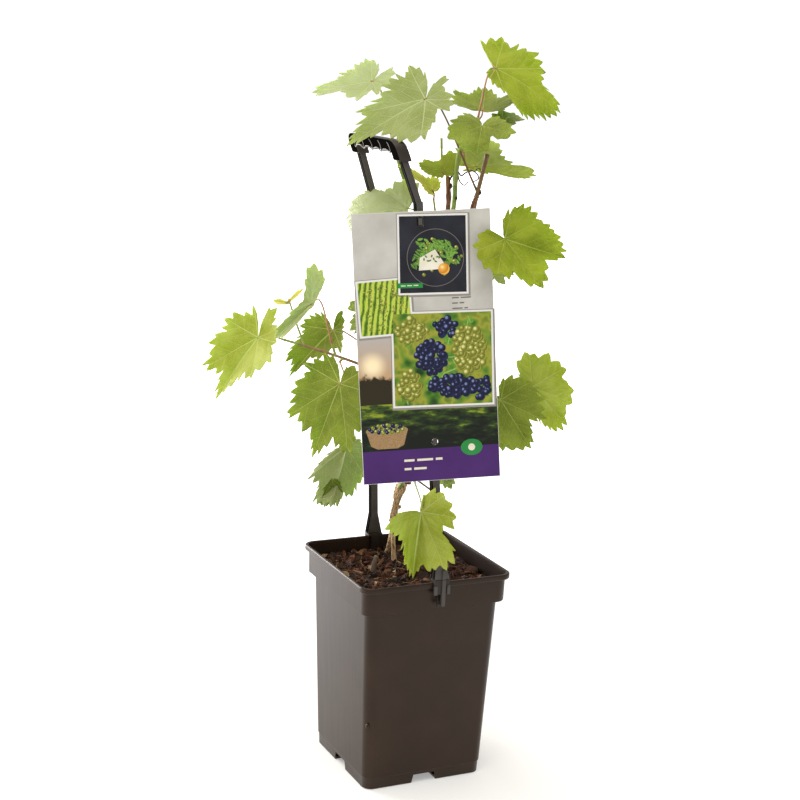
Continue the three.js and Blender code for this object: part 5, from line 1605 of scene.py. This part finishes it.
    def basket(self, art, ink):
        """Round basket of plums."""
        chance = random.Random(23)
        middle = Vector((-38, -76))
        bowl = ((-1, 0.35), (-0.8, -0.75), (-0.5, -1), (0.5, -1), (0.8, -0.75), (1, 0.35), (0.6, 0.62),
            (-0.6, 0.62))
        art.shape(bowl, middle, (18, 11), 1.6, ink["willow"], spot=8)
        art.shape(outline_round(24), middle + Vector((0, 5)), (18.6, 4.6), 1.8, ink["willow"], spot=8)
        layer = 2
        for k in range(54):
            reach, angle = math.sqrt((k + 0.5) / 54), k * 2.4
            spot = middle + Vector((math.cos(angle) * reach * 15.5,
                6.2 + math.sin(angle) * reach * 3.8 + 1.6 * (1 - reach)))
            layer += 0.02
            art.shape(outline_round(10), spot, 1.7, layer,
                ink["blue" if math.sin(angle * 0.5 + reach * 4) > 0 else "yellow"], tone=chance.random())

    def bars(self, art, ink):
        """Badge and the plain bars that stand where the words are."""
        art.shape(outline_round(32), (36, -90), (9.6, 7.2), 1.6, ink["green"], spot=10)
        art.shape(outline_round(20), (36, -90), (3.1, 3.1), 1.9, ink["cream"], spot=10)
        for line, lengths in enumerate(((6, 9), (5, 4), (9, 3), (4, 8), (7, 5))):
            across = 24
            for length in lengths:
                art.shape(BOX, (across + length / 2, 41.5 - 4.6 * line), (length / 2, 0.55), 0.6, ink["text"],
                    spot=10)
                across += length + 1.6
        for line, lengths in enumerate(((9, 14, 6), (6, 11))):
            across = -24
            for length in lengths:
                art.shape(BOX, (across + length / 2, -98.5 - 7.5 * line), (length / 2, 1.0), 1.2,
                    ink["cream"], spot=10)
                across += length + 2.4


# ------------------------------------------------------------------ stage
# Azimuth, elevation and roll in degrees, and place in metres
CAMERA = {"turn": (-25.55, 12.47, 2.47), "place": (-0.6455, -1.3236, 0.6768)}


class VINE_OT_stage(bpy.types.Operator):
    """Lay the studio floor, set the lights and place the camera"""

    bl_idname = "vine.stage"
    bl_label = "Stage"

    def execute(self, context):
        settings = context.scene.vine_stage
        deselect()
        bpy.ops.mesh.primitive_circle_add(vertices=96, radius=settings.floor, fill_type="NGON",
            location=(0, 0, -0.0004))
        floor = named("studio_floor", self.paper())
        freeze(floor)
        self.light("overhead_softbox", (-0.4, -0.6, 2.4), (0.0, 0.0, 0.3), 30, 2.0)
        self.light("back_left_softbox", (-0.95, 2.0, 0.5), (0.0, 0.0, 0.2), 85, 1.7)
        world = bpy.data.worlds.new("studio")
        world.use_nodes = True
        tree = world.node_tree
        tree.nodes.clear()
        ray = add(tree, "LightPath")
        way = add(tree, "TexCoord", out="Generated")
        # the room is bright behind, above and to the left, and dim in front and to the right
        facing = add(tree, "VectorMath", (way, (-0.45, 0.45, 0.77)), operation="DOT_PRODUCT")
        strength = add(tree, "MapRange", (facing, -0.6, 1.0, 0.4, 0.95))
        room = add(tree, "Background", ("#fffdfa", strength))
        wall = add(tree, "Background", ((1, 1, 1, 1), 1.1))
        add(tree, "OutputWorld", {"Surface": add(tree, "MixShader", (ray, room, wall))})
        context.scene.world = world
        context.scene.view_settings.view_transform = "Standard"
        self.camera(context, settings.lens)
        return {"FINISHED"}

    def paper(self):
        """Matt white paper under a painted glow: an emission, no lamp, that stands for the lit backdrop a
        little way out from the pot and already lightens the shadow at the pot's foot.
        """
        paper, tree = new_material("white_paper_with_painted_glow")
        place = add(tree, "TexCoord", out="Object")
        away = add(tree, "VectorMath", [place], operation="LENGTH")
        # painted light: the glow is mixed in a third strong at the pot's foot, which lightens the pot's
        # shadow, and fully from 0.36 m out
        lit = add(tree, "MapRange", (away, 0.085, 0.36, 0.3), interpolation_type="SMOOTHSTEP")
        # painted light: the glow is strongest behind and to the left, where the pot's left face shows it as a
        # reflection
        behind = add(tree, "VectorMath", (place, (-0.5, 0.87, 0)), operation="DOT_PRODUCT")
        power = add(tree, "MapRange", (behind, 0.1, 0.7, 1.08, 2.3))
        shader = add(tree, "BsdfPrincipled", {"Base Color": "#fffcf4", "Roughness": 0.9,
            "Specular IOR Level": 0.2})
        # painted light: the paper itself glows, though it is no lamp
        glow = add(tree, "Emission", ((1, 1, 1, 1), power))
        add(tree, "OutputMaterial", {"Surface": add(tree, "MixShader", (lit, shader, glow))})
        return paper

    def light(self, name, place, target, power, size):
        lamp = bpy.data.lights.new(name, "AREA")
        lamp.energy = power
        lamp.size = size
        holder = bpy.data.objects.new(name, lamp)
        holder.location = place
        holder.rotation_euler = (Vector(target) - Vector(place)).to_track_quat("-Z", "Y").to_euler()
        bpy.context.scene.collection.objects.link(holder)

    def camera(self, context, lens):
        """Camera level with the top of the plant, turned to the pot's front corner, with a slight roll."""
        azimuth, elevation, roll = (math.radians(a) for a in CAMERA["turn"])
        back = Vector((math.sin(azimuth) * math.cos(elevation), -math.cos(azimuth) * math.cos(elevation),
            math.sin(elevation)))
        level = Vector((math.cos(azimuth), math.sin(azimuth), 0))
        over = back.cross(level)
        right = level * math.cos(roll) + over * math.sin(roll)
        up = over * math.cos(roll) - level * math.sin(roll)
        camera = bpy.data.cameras.new("camera")
        camera.lens = lens
        camera.sensor_width = 36
        holder = bpy.data.objects.new("camera", camera)
        turn = Matrix((right, up, back)).transposed().to_4x4()
        holder.matrix_world = Matrix.Translation(CAMERA["place"]) @ turn
        context.scene.collection.objects.link(holder)
        context.scene.camera = holder


# ------------------------------------------------------------------ panel and registration
class VINE_PT_panel(bpy.types.Panel):
    """Shows a button for each step that builds the grapevine"""

    bl_idname = "VINE_PT_panel"
    bl_label = "Grapevine"
    bl_space_type = "VIEW_3D"
    bl_region_type = "UI"
    bl_category = "Grapevine"

    def draw(self, context):
        for operator in OPERATORS:
            self.layout.operator(operator.bl_idname)


OPERATORS = (VINE_OT_pot, VINE_OT_compost, VINE_OT_handle, VINE_OT_card, VINE_OT_wood, VINE_OT_stalks,
    VINE_OT_leaves, VINE_OT_stage)
GROUPS = {"vine_foliage": VINE_PG_foliage, "vine_pot": VINE_PG_pot, "vine_compost": VINE_PG_compost,
          "vine_stage": VINE_PG_stage}


def register():
    for cls in (*GROUPS.values(), *OPERATORS, VINE_PT_panel):
        bpy.utils.register_class(cls)
    for name, group in GROUPS.items():
        setattr(bpy.types.Scene, name, PointerProperty(type=group))


def unregister():
    for name in GROUPS:
        delattr(bpy.types.Scene, name)
    for cls in (VINE_PT_panel, *reversed(OPERATORS), *GROUPS.values()):
        bpy.utils.unregister_class(cls)


def main():
    register()
    for operator in OPERATORS:
        family, action = operator.bl_idname.split(".")
        getattr(getattr(bpy.ops, family), action)()
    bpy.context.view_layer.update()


if __name__ == "__main__":
    main()
